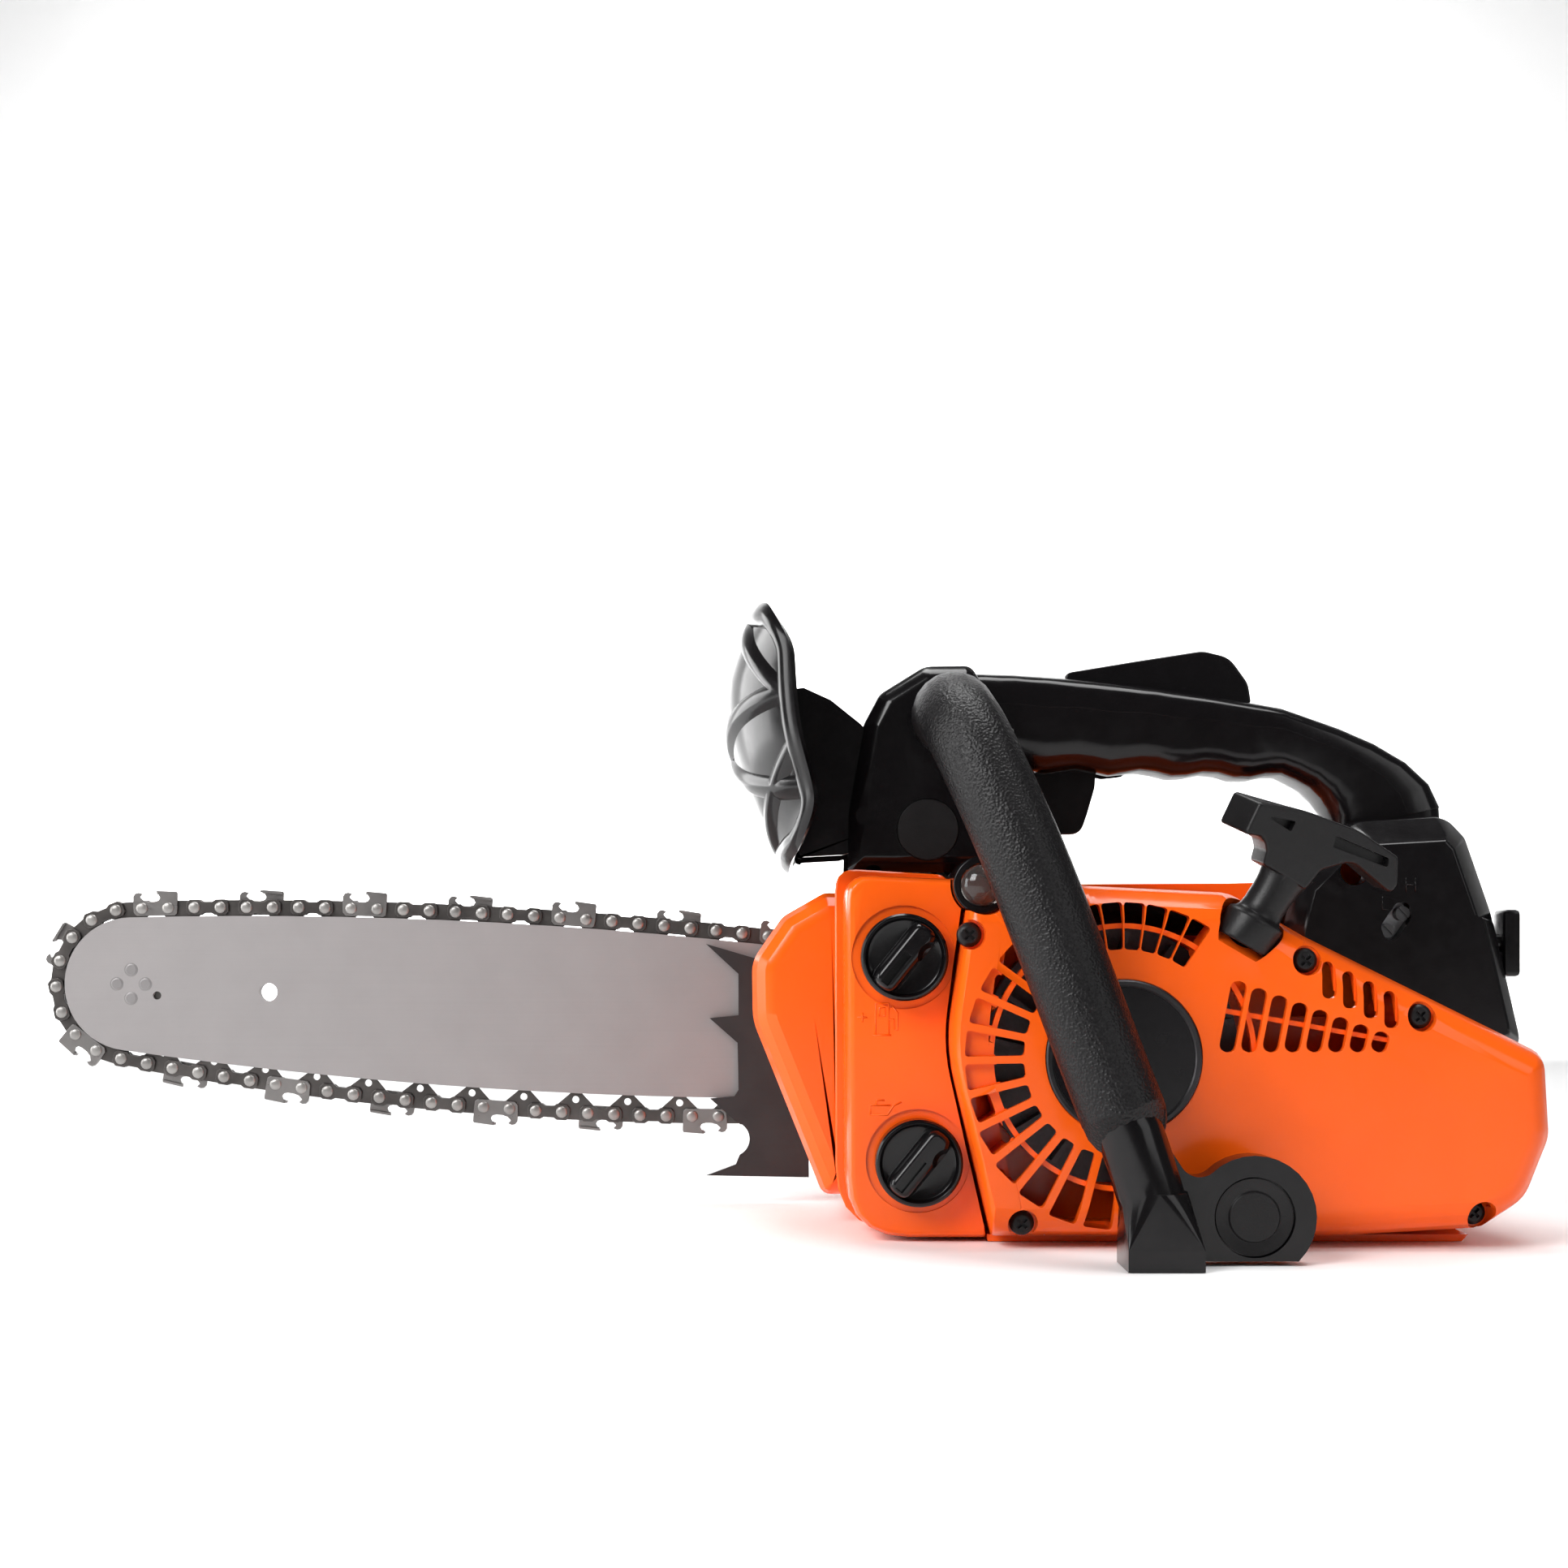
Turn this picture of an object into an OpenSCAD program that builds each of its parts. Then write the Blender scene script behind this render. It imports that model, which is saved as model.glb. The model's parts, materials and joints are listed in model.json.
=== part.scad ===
// Top-handle chainsaw with a 25 cc two-stroke engine.
// +X points to the rear, +Y to the clutch side, +Z up. The origin is on the
// ground, under the crankshaft and in the centre plane of the cylinder.

/* [Powerhead] */
// Height of the crankshaft axis above the ground
crank_z = 59; // [58:0.5:60]
// Radius of the crankshaft journals
crank_r = 6; // [5:0.25:6.5]
// Half the width of the casing between its two side covers
case_half = 42; // [41:0.5:43]
// Distance from the cylinder plane to the face of the starter cover
starter_reach = 83; // [81:0.5:85]
// Distance from the cylinder plane to the face of the clutch cover
clutch_reach = 77; // [75:0.5:80]
// Distance from the cylinder plane to the face of the tank
tank_reach = 62; // [60:0.5:64]
// Wall thickness of the moulded covers
cover_wall = 2.4; // [1.8:0.1:3]
// Lean of the cylinder towards the nose, in degrees
cylinder_lean = 45; // [43:1:47]
// Distance from the crankshaft to the top fin of the cylinder
cylinder_reach = 74; // [70:1:76]
// Number of cooling fins on the cylinder
fins = 9; // [7:1:10]
// Outer radius of the flywheel
flywheel_r = 41; // [38:0.5:42]
// Number of fan blades on the flywheel
blades = 16; // [12:1:20]

/* [Starter] */
// Radius of the starter badge
badge_r = 23.7; // [22:0.1:25]
// Angle between two cooling slots of the fan
slot_pitch = 12.4; // [12:0.1:13]
// Angle that a cooling slot takes
slot_angle = 8; // [7:0.1:9]
// Radius at which the rope runs on its pulley
pulley_r = 18; // [16:0.5:20]
// Diameter of the starter rope
rope_d = 3.2; // [2.8:0.1:3.6]
// Length of the bar of the starter grip
grip_length = 54; // [50:1:58]

/* [Guide bar] */
// Distance from the casing to the middle of the bar
bar_standoff = 5; // [4.5:0.25:6]
// Angle of the bar above the horizontal, in degrees
bar_tilt = 3.4; // [2.8:0.2:4]
// Thickness of one outer plate of the bar
bar_plate = 1.3; // [1.2:0.05:1.4]
// Width of the groove between the plates
bar_groove = 1.5; // [1.4:0.05:1.6]
// Radius of the curved long edges of the bar, at the rivet line
belly_radius = 1700; // [1500:50:1900]
// Radius of the bolt slot and studs of the bar
stud_r = 4; // [3.5:0.25:4.25]
// Radius of the hole that the bar hangs by
hang_hole_r = 3.3; // [2.5:0.1:4]

/* [Chain] */
// Distance between two rivets
pitch = 9.525; // [9.475:0.025:9.575]
// Number of drive links
drive_links = 44; // [42:1:46]
// Teeth of the drive sprocket
sprocket_teeth = 7; // [7:1:7]
// Teeth of the nose sprocket
nose_teeth = 9; // [9:1:10]
// Radius of the curve in which the lower run hangs
sag_radius = 1180; // [1100:20:1300]
// Thickness of a drive link
link_t = 1.2; // [1.1:0.05:1.3]
// Thickness of a tie strap
strap_t = 1.1; // [1:0.05:1.2]
// Height of a cutter above the rivet line
cutter_height = 6.4; // [6:0.1:6.6]
// How far a depth gauge lies below its cutter
gauge_drop = 0.6; // [0.5:0.05:0.8]

/* [Handles] */
// Half the width of the front block of the handle
block_half = 32; // [31:0.5:33]
// Half the width of the top grip
grip_half = 16.5; // [15:0.5:17.5]
// Radius of the front handle tube
tube_r = 9.8; // [9:0.1:10]
// Thickness of the sleeve on the front handle
sleeve_wall = 1.9; // [1.5:0.1:2.2]
// Half the span of the hand guard
guard_half = 64; // [60:1:68]
// Thickness of the hand guard
guard_wall = 2.6; // [2.2:0.1:3.2]

/* [Controls] */
// Width of the throttle trigger
trigger_w = 11; // [9:0.5:12]
// Radius of the two filler caps
cap_r = 13.6; // [12.5:0.1:14.5]
// Radius of the primer bulb
bulb_r = 6.5; // [6:0.1:7]

/* [Fits] */
// Radial clearance of a running fit
fit = 0.05; // [0.03:0.01:0.08]
// Clearance between pieces that must not touch
gap = 0.4; // [0.3:0.05:0.5]

/* [Hidden] */

$fn = 48;
bar_y = case_half + bar_standoff;
orange = "#f4661b";
black = "#1b1a1c";
rubber = "#2c2b2e";
steel = "#8d8c8c";
bright_steel = "#b9b6b4";
dark_steel = "#3a383a";
alloy = "#a9abad";

// ---- outlines and lofts ---------------------------------------------------

function unit(v) = v / norm(v);
function left_of(v) = [-v[1], v[0]];
function turned(v, a) = [v[0] * cos(a) - v[1] * sin(a), v[0] * sin(a) + v[1] * cos(a)];
function mean(points) = [for (c = [0:len(points[0]) - 1]) [for (p = points) p[c]] * [for (p = points) 1]
    / len(points)];

// Points of one rounded corner b between a and c; r shrinks with the inset d
function corner_arc(a, b, c, r, d, n) =
    let (u = unit(b - a), v = unit(c - b), nu = left_of(u), nv = left_of(v),
        turn = atan2(u[0] * v[1] - u[1] * v[0], u * v),
        q = b + (nu + nv) * d / (1 + nu * nv),
        radius = turn > 0 ? max(r - d, 0.3) : r + d,
        start = q - u * radius * tan(abs(turn) / 2),
        centre = start + nu * radius * sign(turn))
    [for (k = [0:n]) centre + turned(start - centre, turn * k / n)];

// Outline through corners [x, z, radius], drawn inwards by the inset d
function rounded(corners, d = 0, n = 4) =
    let (m = len(corners), p = [for (c = corners) [c[0], c[1]]])
    [for (i = [0:m - 1]) each corner_arc(p[(i + m - 1) % m], p[i], p[(i + 1) % m], corners[i][2], d, n)];

// Solid through rings of points; each ring runs clockwise about the way the rings advance
module loft(rings) {
    n = len(rings[0]);
    last = len(rings) - 1;
    points = concat([for (ring = rings) each ring], [mean(rings[0]), mean(rings[last])]);
    sides = [for (j = [0:last - 1]) for (i = [0:n - 1])
        let (a = j * n + i, b = j * n + (i + 1) % n) each [[a, b, a + n], [b, b + n, a + n]]];
    caps = [for (i = [0:n - 1]) let (k = (i + 1) % n)
        each [[k, i, (last + 1) * n], [last * n + i, last * n + k, (last + 1) * n + 1]]];
    polyhedron(points, concat(sides, caps));
}

// Moulding whose outline is inset by level[1] at y = level[0]; levels rise in y
module moulding(corners, levels, n = 4)
    loft([for (level = levels) [for (p = rounded(corners, level[1], n)) [p[0], level[0], p[1]]]]);

// Extrudes an outline drawn in x and z from y0 to y1
module slab(y0, y1) translate([0, y1, 0]) rotate([90, 0, 0]) linear_extrude(y1 - y0) children();

// Round bar along y
module rod(x, z, r, y0, y1, fn = 48)
    translate([x, y0, z]) rotate([-90, 0, 0]) cylinder(r = r, h = y1 - y0, $fn = fn);

// Ring along y
module tube(x, z, r_out, r_in, y0, y1)
    difference() {
        rod(x, z, r_out, y0, y1);
        rod(x, z, r_in, y0 - 1, y1 + 1);
    }

// Turned shape: profile in [radius, y], about the y axis through x and z
module turning(x, z) translate([x, 0, z]) rotate([-90, 0, 0]) rotate_extrude($fn = 64) children();

module block(x0, x1, y0, y1, z0, z1) translate([x0, y0, z0]) cube([x1 - x0, y1 - y0, z1 - z0]);

// Straight slot with round ends between two points of the x-z plane
module slot_2d(a, b, w)
    polygon([for (end = [0, 1]) for (k = [0:8])
        polar(end == 0 ? b : a, w / 2, atan2(b[1] - a[1], b[0] - a[0]) - 90 + end * 180 + k * 22.5)]);

// ---- guide bar and chain path ---------------------------------------------
// In the bar frame the crankshaft is at the origin and the nose centre at [-span, 0].

sprocket_r = pitch / (2 * sin(90 / sprocket_teeth));
nose_r = pitch / (2 * sin(90 / nose_teeth));

function step_angle(r) = 2 * asin(pitch / (2 * r));
function belly_x(r, s) = -(s * s + pow(r - sprocket_r, 2) - pow(r - nose_r, 2)) / (2 * s);
function belly_z(r, s) = sqrt(pow(r - sprocket_r, 2) - pow(belly_x(r, s), 2));
function near_angle(r, s) = atan2(belly_z(r, s), -belly_x(r, s));
function far_angle(r, s) = atan2(belly_z(r, s), -s - belly_x(r, s));
function run_steps(r, s) = (far_angle(r, s) - near_angle(r, s)) / step_angle(r);
function nose_steps(s) = (360 - far_angle(belly_radius, s) - far_angle(sag_radius, s)) / step_angle(nose_r);
function wrap_steps(s) =
    (near_angle(belly_radius, s) + near_angle(sag_radius, s)) / step_angle(sprocket_r);
function loop_steps(s) =
    run_steps(belly_radius, s) + nose_steps(s) + run_steps(sag_radius, s) + wrap_steps(s);
function solve_span(lo, hi, n) = let (mid = (lo + hi) / 2)
    n == 0 ? mid :
    loop_steps(mid) < 2 * drive_links ? solve_span(mid, hi, n - 1) : solve_span(lo, mid, n - 1);

rivets = 2 * drive_links;
span = solve_span(200, 600, 40);
top_end = run_steps(belly_radius, span);
nose_end = top_end + nose_steps(span);
bottom_end = nose_end + run_steps(sag_radius, span);

function polar(c, r, a) = c + r * [cos(a), sin(a)];
function path_point(u) =
    u < 0 ? path_point(u + rivets) : u >= rivets ? path_point(u - rivets) :
    u < top_end ? polar([belly_x(belly_radius, span), -belly_z(belly_radius, span)], belly_radius,
        near_angle(belly_radius, span) + u * step_angle(belly_radius)) :
    u < nose_end ? polar([-span, 0], nose_r,
        far_angle(belly_radius, span) + (u - top_end) * step_angle(nose_r)) :
    u < bottom_end ? polar([belly_x(sag_radius, span), belly_z(sag_radius, span)], sag_radius,
        -far_angle(sag_radius, span) + (u - nose_end) * step_angle(sag_radius)) :
    polar([0, 0], sprocket_r, -near_angle(sag_radius, span) + (u - bottom_end) * step_angle(sprocket_r));

// Rivets at which one stretch of the chain hands over to the next
top_last = round(top_end);
nose_last = round(nose_end);
bottom_last = round(bottom_end);

// Moves children from the bar frame, drawn flat, to their place on the saw
module bar_frame(y = bar_y)
    translate([0, y, crank_z]) rotate([0, bar_tilt, 0]) rotate([90, 0, 0]) children();

// Extrudes an outline of the bar frame between two distances from the bar plane
module bar_layer(y0, y1) bar_frame() translate([0, 0, -y1]) linear_extrude(y1 - y0) children();

// ---- chain ----------------------------------------------------------------

rivet_r = 1.2;
head_r = 2.15;
head_t = 0.85;
loose = 0.85;          // free play where one stretch of the chain hands over to the next
strap_in = 2.75;       // how far a strap reaches below the rivet line
rail_in = 3.15;        // depth of the bar rail below the rivet line
tang_depth = 8;        // depth of a drive link below the rivet line
groove_depth = 6;
strap_y = link_t / 2 + 0.05;
chain_half = strap_y + strap_t + head_t;

// Outline of a drive link: rivets on the x axis, tang towards +y
module link_2d()
    polygon([[-2.7, -1.6], [-1.6, -2.7], [pitch + 1.6, -2.7], [pitch + 2.7, -1.6], [pitch + 2.9, 0.6],
        [pitch + 2.2, 2.4], [pitch / 2 + 2.6, tang_depth - 1.4], [pitch / 2 + 1.4, tang_depth],
        [pitch / 2 - 1.2, tang_depth], [pitch / 2 - 2.4, tang_depth - 1.4], [-2.2, 2.4], [-2.9, 0.6]]);

// Outline of a tie strap, waisted between its rivets
module strap_2d()
    polygon([[-3, -1.6], [-1.8, -3], [1.8, -3], [3, -2.1], [pitch - 3, -2.1], [pitch - 1.8, -3],
        [pitch + 1.8, -3], [pitch + 3, -1.6], [pitch + 3, 1.5], [pitch + 1.8, strap_in],
        [pitch - 2.4, strap_in], [pitch - 3.2, 2.1], [3.2, 2.1], [2.4, strap_in], [-1.8, strap_in],
        [-3, 1.5]]);

// Side of a cutter: top plate at the trailing end, gullet, hooked depth gauge in front
module cutter_2d()
    polygon([[-3.2, 2.1], [-2.2, strap_in], [pitch + 1.8, strap_in], [pitch + 3, 1.5], [pitch + 3.2, -2],
        [pitch + 3.1, -gauge_h + 1.2], [pitch + 1.2, -gauge_h], [pitch - 0.2, -gauge_h + 0.5],
        [pitch + 0.6, -4.2], [pitch - 0.6, -2.9], [pitch - 2.4, -2.5], [3.6, -2.8], [3, -3.8],
        [4.4, -cutter_height], [-3.4, -cutter_height + 0.5], [-3.4, 0]]);
gauge_h = cutter_height - gauge_drop;

// Draws a piece of link k in the bar frame
module at_link(k) {
    p = path_point(k);
    d = path_point(k + 1) - p;
    translate(p) rotate(atan2(d[1], d[0])) children();
}

// Plate of the chain between two distances from its middle plane
module plate(y0, y1) translate([0, 0, -y1]) linear_extrude(y1 - y0) children();

// Drive link k; its holes are free where the rivet belongs to the next stretch
module drive_link(k, first, last)
    difference() {
        plate(-link_t / 2, link_t / 2) link_2d();
        translate([0, 0, -1]) cylinder(r = rivet_r + (k == first ? loose : fit), h = 2, $fn = 24);
        translate([pitch, 0, -1]) cylinder(r = rivet_r + (k == last - 1 ? loose : fit), h = 2, $fn = 24);
        translate([pitch / 2, 5.3, -1]) cylinder(r = 1.3, h = 2, $fn = 24);
    }

// Two straps, or a strap and a cutter, with the rivets that they carry
module strap_pair(k) {
    side = k % 8 == 1 ? -1 : 1;
    cutter = k % 4 == 1;
    for (s = [-1, 1]) mirror([0, 0, s < 0 ? 1 : 0])
        plate(strap_y, strap_y + strap_t)
            if (cutter && s == side) cutter_2d(); else strap_2d();
    if (cutter) mirror([0, 0, side < 0 ? 1 : 0])
        plate(-0.7, strap_y + strap_t) polygon([[-3.4, -cutter_height + 0.5], [4.4, -cutter_height],
            [4.1, -cutter_height + 1], [-3.4, -cutter_height + 1.5]]);
    for (x = [0, pitch]) translate([x, 0, 0]) {
        translate([0, 0, -strap_y - strap_t]) cylinder(r = rivet_r, h = 2 * (strap_y + strap_t), $fn = 24);
        for (s = [0, 1]) mirror([0, 0, s]) translate([0, 0, strap_y + strap_t])
            cylinder(r1 = head_r, r2 = head_r - 0.5, h = head_t, $fn = 20);
    }
}

// Stretch of chain from rivet first to rivet last
module chain_stretch(first, last)
    bar_frame() for (k = [first:last - 1])
        at_link(k) if (k % 2 == 0) drive_link(k, first, last); else strap_pair(k);

module chain_top_run() color(dark_steel) chain_stretch(0, top_last);
module chain_nose_wrap() color(dark_steel) chain_stretch(top_last, nose_last);
module chain_bottom_run() color(dark_steel) chain_stretch(nose_last, bottom_last);
module chain_sprocket_wrap() color(dark_steel) chain_stretch(bottom_last, rivets);

// Star wheel whose gaps take the tangs of every drive link in a wrap
module star_2d(r, wheel_r, teeth, first)
    difference() {
        circle(r = r, $fn = 64);
        for (i = [0:teeth - 1]) rotate(i * 360 / teeth) translate(-wheel_centre(wheel_r))
            at_link(first + first % 2) offset(delta = gap + 0.3) link_2d();
    }
function wheel_centre(r) = r == nose_r ? [-span, 0] : [0, 0];

// ---- guide bar ------------------------------------------------------------

bar_half = bar_plate + bar_groove / 2;
tail_x = -24;
hang_x = -span + 50;
slot_x0 = -78;
slot_x1 = -42;
stud_x = -50;
tension_x = -64;
tension_z = -15;

function rail_z(x, d) = sqrt(pow(belly_radius - d, 2) - pow(x - belly_x(belly_radius, span), 2))
    - belly_z(belly_radius, span);

// Bar outline with its rails at depth d below the rivet line
module bar_2d(d, tail) {
    a = far_angle(belly_radius, span);
    x1 = -span + (nose_r - d) * cos(a);
    x0 = tail - 12;
    upper = [for (k = [0:16]) let (x = x0 + (x1 - x0) * k / 16) [x, rail_z(x, d)]];
    nose = [for (k = [1:23]) polar([-span, 0], nose_r - d, a + (360 - 2 * a) * k / 24)];
    lower = [for (k = [0:16]) [upper[16 - k][0], -upper[16 - k][1]]];
    polygon(concat([[tail, 11]], upper, nose, lower, [[tail, -11]]));
}

module bar_holes_2d() {
    slot_2d([slot_x0, 0], [slot_x1, 0], 2 * stud_r + 0.4);
    for (s = [-1, 1]) translate([tension_x, s * tension_z]) circle(r = 3.2);
    for (s = [-1, 1]) translate([-38, s * 17]) circle(r = 1.2);
    translate([-span + 9.7, -3.6]) circle(r = 1.5);
}

module guide_bar() color(bright_steel) difference() {
    union() {
        for (y = [-bar_half, bar_groove / 2]) bar_layer(y, y + bar_plate) difference() {
            bar_2d(rail_in, tail_x);
            bar_holes_2d();
        }
        bar_layer(-bar_groove / 2, bar_groove / 2) {
            difference() {
                bar_2d(rail_in + groove_depth, tail_x - 4);
                bar_holes_2d();
                translate([-span, 0]) circle(r = nose_r - rail_in + 1.5);
            }
            translate([-span, 0]) circle(r = race_r);
        }
    }
    bar_frame() translate([hang_x, 0, 0]) cylinder(r = hang_hole_r, h = 4 * bar_half, center = true);
    for (p = nose_rivet_places) bar_frame() translate([p[0], p[1], 0])
        cylinder(r = nose_rivet_r, h = 4 * bar_half, center = true, $fn = 32);
}
race_r = 9;
nose_rivet_r = 2.4;
nose_rivet_places = [for (a = [0:90:270]) polar([-span, 0], 5.2, a + 3)];

module nose_rivets() color(steel) for (p = nose_rivet_places) bar_frame() translate([p[0], p[1], 0]) {
    cylinder(r = nose_rivet_r, h = 2 * bar_half, center = true, $fn = 32);
    for (s = [0, 1]) mirror([0, 0, s]) translate([0, 0, bar_half])
        cylinder(r1 = 2.2, r2 = 1.6, h = 0.25, $fn = 32);
}

module nose_sprocket() color(steel) bar_layer(-bar_groove / 2 + 0.15, bar_groove / 2 - 0.15) difference() {
    translate([-span, 0]) circle(r = nose_r - rail_in - 0.4, $fn = 64);
    translate([-span, 0]) circle(r = race_r + fit);
    translate([-span, 0]) for (i = [0:nose_teeth - 1]) rotate(i * 360 / nose_teeth) translate([span, 0])
        at_link(top_last + 2 + top_last % 2) offset(delta = gap + 0.3) link_2d();
}

// Hole that fits a stud in the bar frame
module bar_hole(x, z, r, y0, y1)
    bar_frame(0) translate([x, z, -y1]) cylinder(r = r, h = y1 - y0);

// ---- casing ---------------------------------------------------------------

seam = [[-39.5, 1], [-53.6, 62], [-46.5, 114]];      // line between tank and starter cover
casing_corners = [[-70, 0, 6], [112, 0, 8], [126, 12, 14], [130, 40, 20], [126.5, 62, 8], [57, 96, 14],
    [40, 110, 8], [-84, 112, 6], [-84, 14, 12]];
lobe_corners = [[-90.5, 9.5, 4], [-78, 9.5, 1], [-78, 111, 1], [-90, 111, 5], [-104, 103, 8],
    [-114.3, 88, 12], [-114, 68, 20]];
muffler_corners = [[-88, 40, 4], [-78, 42, 4], [-72, 66, 6], [-72, 92, 6], [-98, 95, 8], [-107, 84, 8],
    [-107, 70, 8]];
lobe_near = -22;
muffler_end = case_half - 8;
deck_z = 112;
function deck_at(x) = deck_z - (x + 84) * 2 / 124 + 0.01;

// Cylinder frame: z along the bore, origin on the crankshaft
module cylinder_frame() translate([0, 0, crank_z]) rotate([0, -cylinder_lean, 0]) children();
case_r = 29;
crankcase_half = case_half - 14;
fin_half = 21;
well_half = fin_half + 3;

carb = [91, -33, 100.5];
carb_half = [9, 11, 9];
duct_r = 9;
wall_y = -19.5;
port_reach = 45;
intake_start = [port_reach * -sin(cylinder_lean) + fin_half * cos(cylinder_lean), 0,
    crank_z + port_reach * cos(cylinder_lean) + fin_half * sin(cylinder_lean)];

cover_screw_seats = [[-46.6, 96.5, 7], [-30.5, 8, 7], [56, 88.6, 5], [91, 71.5, 5], [110, 10.5, 13]];
cover_screw_places = [for (s = cover_screw_seats) [s[0], s[1], s[2] - starter_reach]];
primer = [-41.7, 112];

module engine_housing() color(orange) difference() {
    union() {
        moulding(casing_corners, [[-case_half, 0], [case_half - 2, 0], [case_half, 2]]);
        moulding(lobe_corners, [[lobe_near, 8], [lobe_near + 1.5, 4.5], [lobe_near + 4.5, 1.6],
            [lobe_near + 9, 0], [case_half - 1, 0]]);
        slab(-60, -case_half) polygon([[-40, 0], [110, 0], [112, 2.2], [-39.5, 2.2]]);
        slab(case_half - 1, bar_y - bar_half) translate([0, crank_z]) rotate(-bar_tilt)
            polygon([[-92, -19], [-32, -19], [-32, 19], [-92, 19]]);
        slab(wall_y, wall_y + 3)
            polygon([[60, 80], [124, 60], [118, 126], [112, 132], [84, 131], [62, 112]]);
        rod(primer[0], primer[1], 9.1, -case_half, -33);
    }
    block(-120, seam[2][0] + 1, -90, -25, -1, 130);
    slab(-90, -25) polygon([[-60, -1], seam[0] + [gap, -2], seam[1] + [gap + 3, 0], seam[2] + [gap, 0],
        [-60, 118]]);
    rod(0, crank_z, case_r + gap, -case_half - 1, crankcase_half + 3);
    rod(0, crank_z, 22, crankcase_half + 2, case_half + 9);
    cylinder_frame() translate([-well_half, -well_half, 0]) cube([2 * well_half, 2 * well_half, 100]);
    block(-24, 78, carb[1] - duct_r - 2, duct_r + 2, deck_z - 22, 130);
    block(60, 122, -case_half - 1, wall_y, 70, 130);
    slab(-16, case_half - 4) offset(delta = 1.5) polygon([for (c = muffler_corners) [c[0], c[1]]]);
    cylinder_frame() translate([-72, -12, port_reach - 9]) cube([72, 24, 18]);
    for (z = [72:6:90]) block(-120, -100, 0, 30, z, z + 3);
    bar_hole(stud_x, 0, stud_r, case_half - 22, case_half + 18);
    bar_hole(tension_x, tension_z, 3.4, case_half - 8, case_half + 18);
    block(-81, -50, case_half - 8, case_half + 9, crank_z - 14, crank_z - 6.5);
    for (s = cover_screw_places) rod(s[0], s[1], 2, -60, -case_half + 14, 24);
    for (z = bumper_screw_z) rod(bumper_screw_x, z, 2, bumper_y - 8, bumper_y + 2, 24);
    rod(primer[0], primer[1], 6, -60, -30);
    translate([100, 0, mount_foot_z]) cylinder(r = 10 + gap, h = 60);
    rod(lower_mount[0], lower_mount[1], 9 + gap, -70, -28);
}
bumper_screw_x = -100;
bumper_screw_z = [34, 62];
lower_mount = [33.5, 14];
mount_foot_z = 70;

tank_corners = [[-84, 1, 20], [seam[0][0], seam[0][1], 1.5], [seam[1][0], seam[1][1], 60],
    [seam[2][0], seam[2][1], 5], [-84.5, 116, 8]];
fuel_cap_place = [-66, 89.5];
oil_cap_place = [-61.5, 25.5];
neck_r = 9.5;

module tank_shell() color(orange) difference() {
    union() {
        difference() {
            moulding(tank_corners, [[-tank_reach, 8], [-tank_reach + 1, 5], [-tank_reach + 4, 2.2],
                [-tank_reach + 10, 0.8], [-25, 0]]);
            moulding(tank_corners, [[-tank_reach + cover_wall, 8.6], [-tank_reach + cover_wall + 3, 5],
                [-24, cover_wall]]);
        }
        block(-83, -54, -tank_reach + 2, -25, 54, 57);
        for (p = [fuel_cap_place, oil_cap_place])
            rod(p[0], p[1], neck_r + 2.8, -tank_reach - 1, -tank_reach + 12);
    }
    for (p = [fuel_cap_place, oil_cap_place])
        rod(p[0], p[1], neck_r + fit, -tank_reach - 2, -tank_reach + 14);
    rod(primer[0], primer[1], 9.5, -90, -20);
}

// ---- covers ---------------------------------------------------------------

cover_corners = [[seam[0][0] + 0.5, 2.6, 1.5], [70, 2.6, 20], [112, 5, 8], [126, 14, 14], [134, 34, 14],
    [132.5, 60, 8], [57.5, 97, 20], [34, 110.5, 14], [-10, 112.6, 40], [seam[2][0] + 0.5, 110.5, 5],
    [seam[1][0] + 0.5, 62, 60]];
cover_levels = [[0, 10.5], [1.6, 6.4], [5, 3], [11, 1], [starter_reach - case_half, 0]];
pull = unit([0.43, -0.53, 0.73]);
rope_exit = [37.6, -starter_reach + 5.5, 97];

module along_pull(d) translate(rope_exit + pull * d)
    rotate([0, acos(pull[2]), atan2(pull[1], pull[0])]) children();

module fan_slot_2d(a, r0, r1)
    offset(r = 1, $fn = 12) offset(delta = -1)
        polygon([for (k = [0, 1]) for (j = [0, 1]) let (b = a + slot_angle * (j == k ? -0.5 : 0.5))
            polar([0, crank_z], k == 0 ? r0 : r1, b)]);

module starter_slots_2d() {
    for (k = [0:9]) let (a = 150 + k * slot_pitch)
        fan_slot_2d(a, 30.5, 46 + 6 * max(0, min(1, (a - 185) / 60)));
    for (k = [0:7]) fan_slot_2d(60 + k * 8.6, 33, 47.5);
    for (k = [0:7]) slot_2d([31.5 + 6.6 * k, 62.5], [34.9 + 6.2 * k, 80.5 - 2.2 * k], 3.8);
    for (k = [0:3]) slot_2d([62.5 + 6.3 * k, 78.8 - 3 * k], [62.5 + 6.3 * k, 86.5 - 3 * k], 3.6);
}

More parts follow.
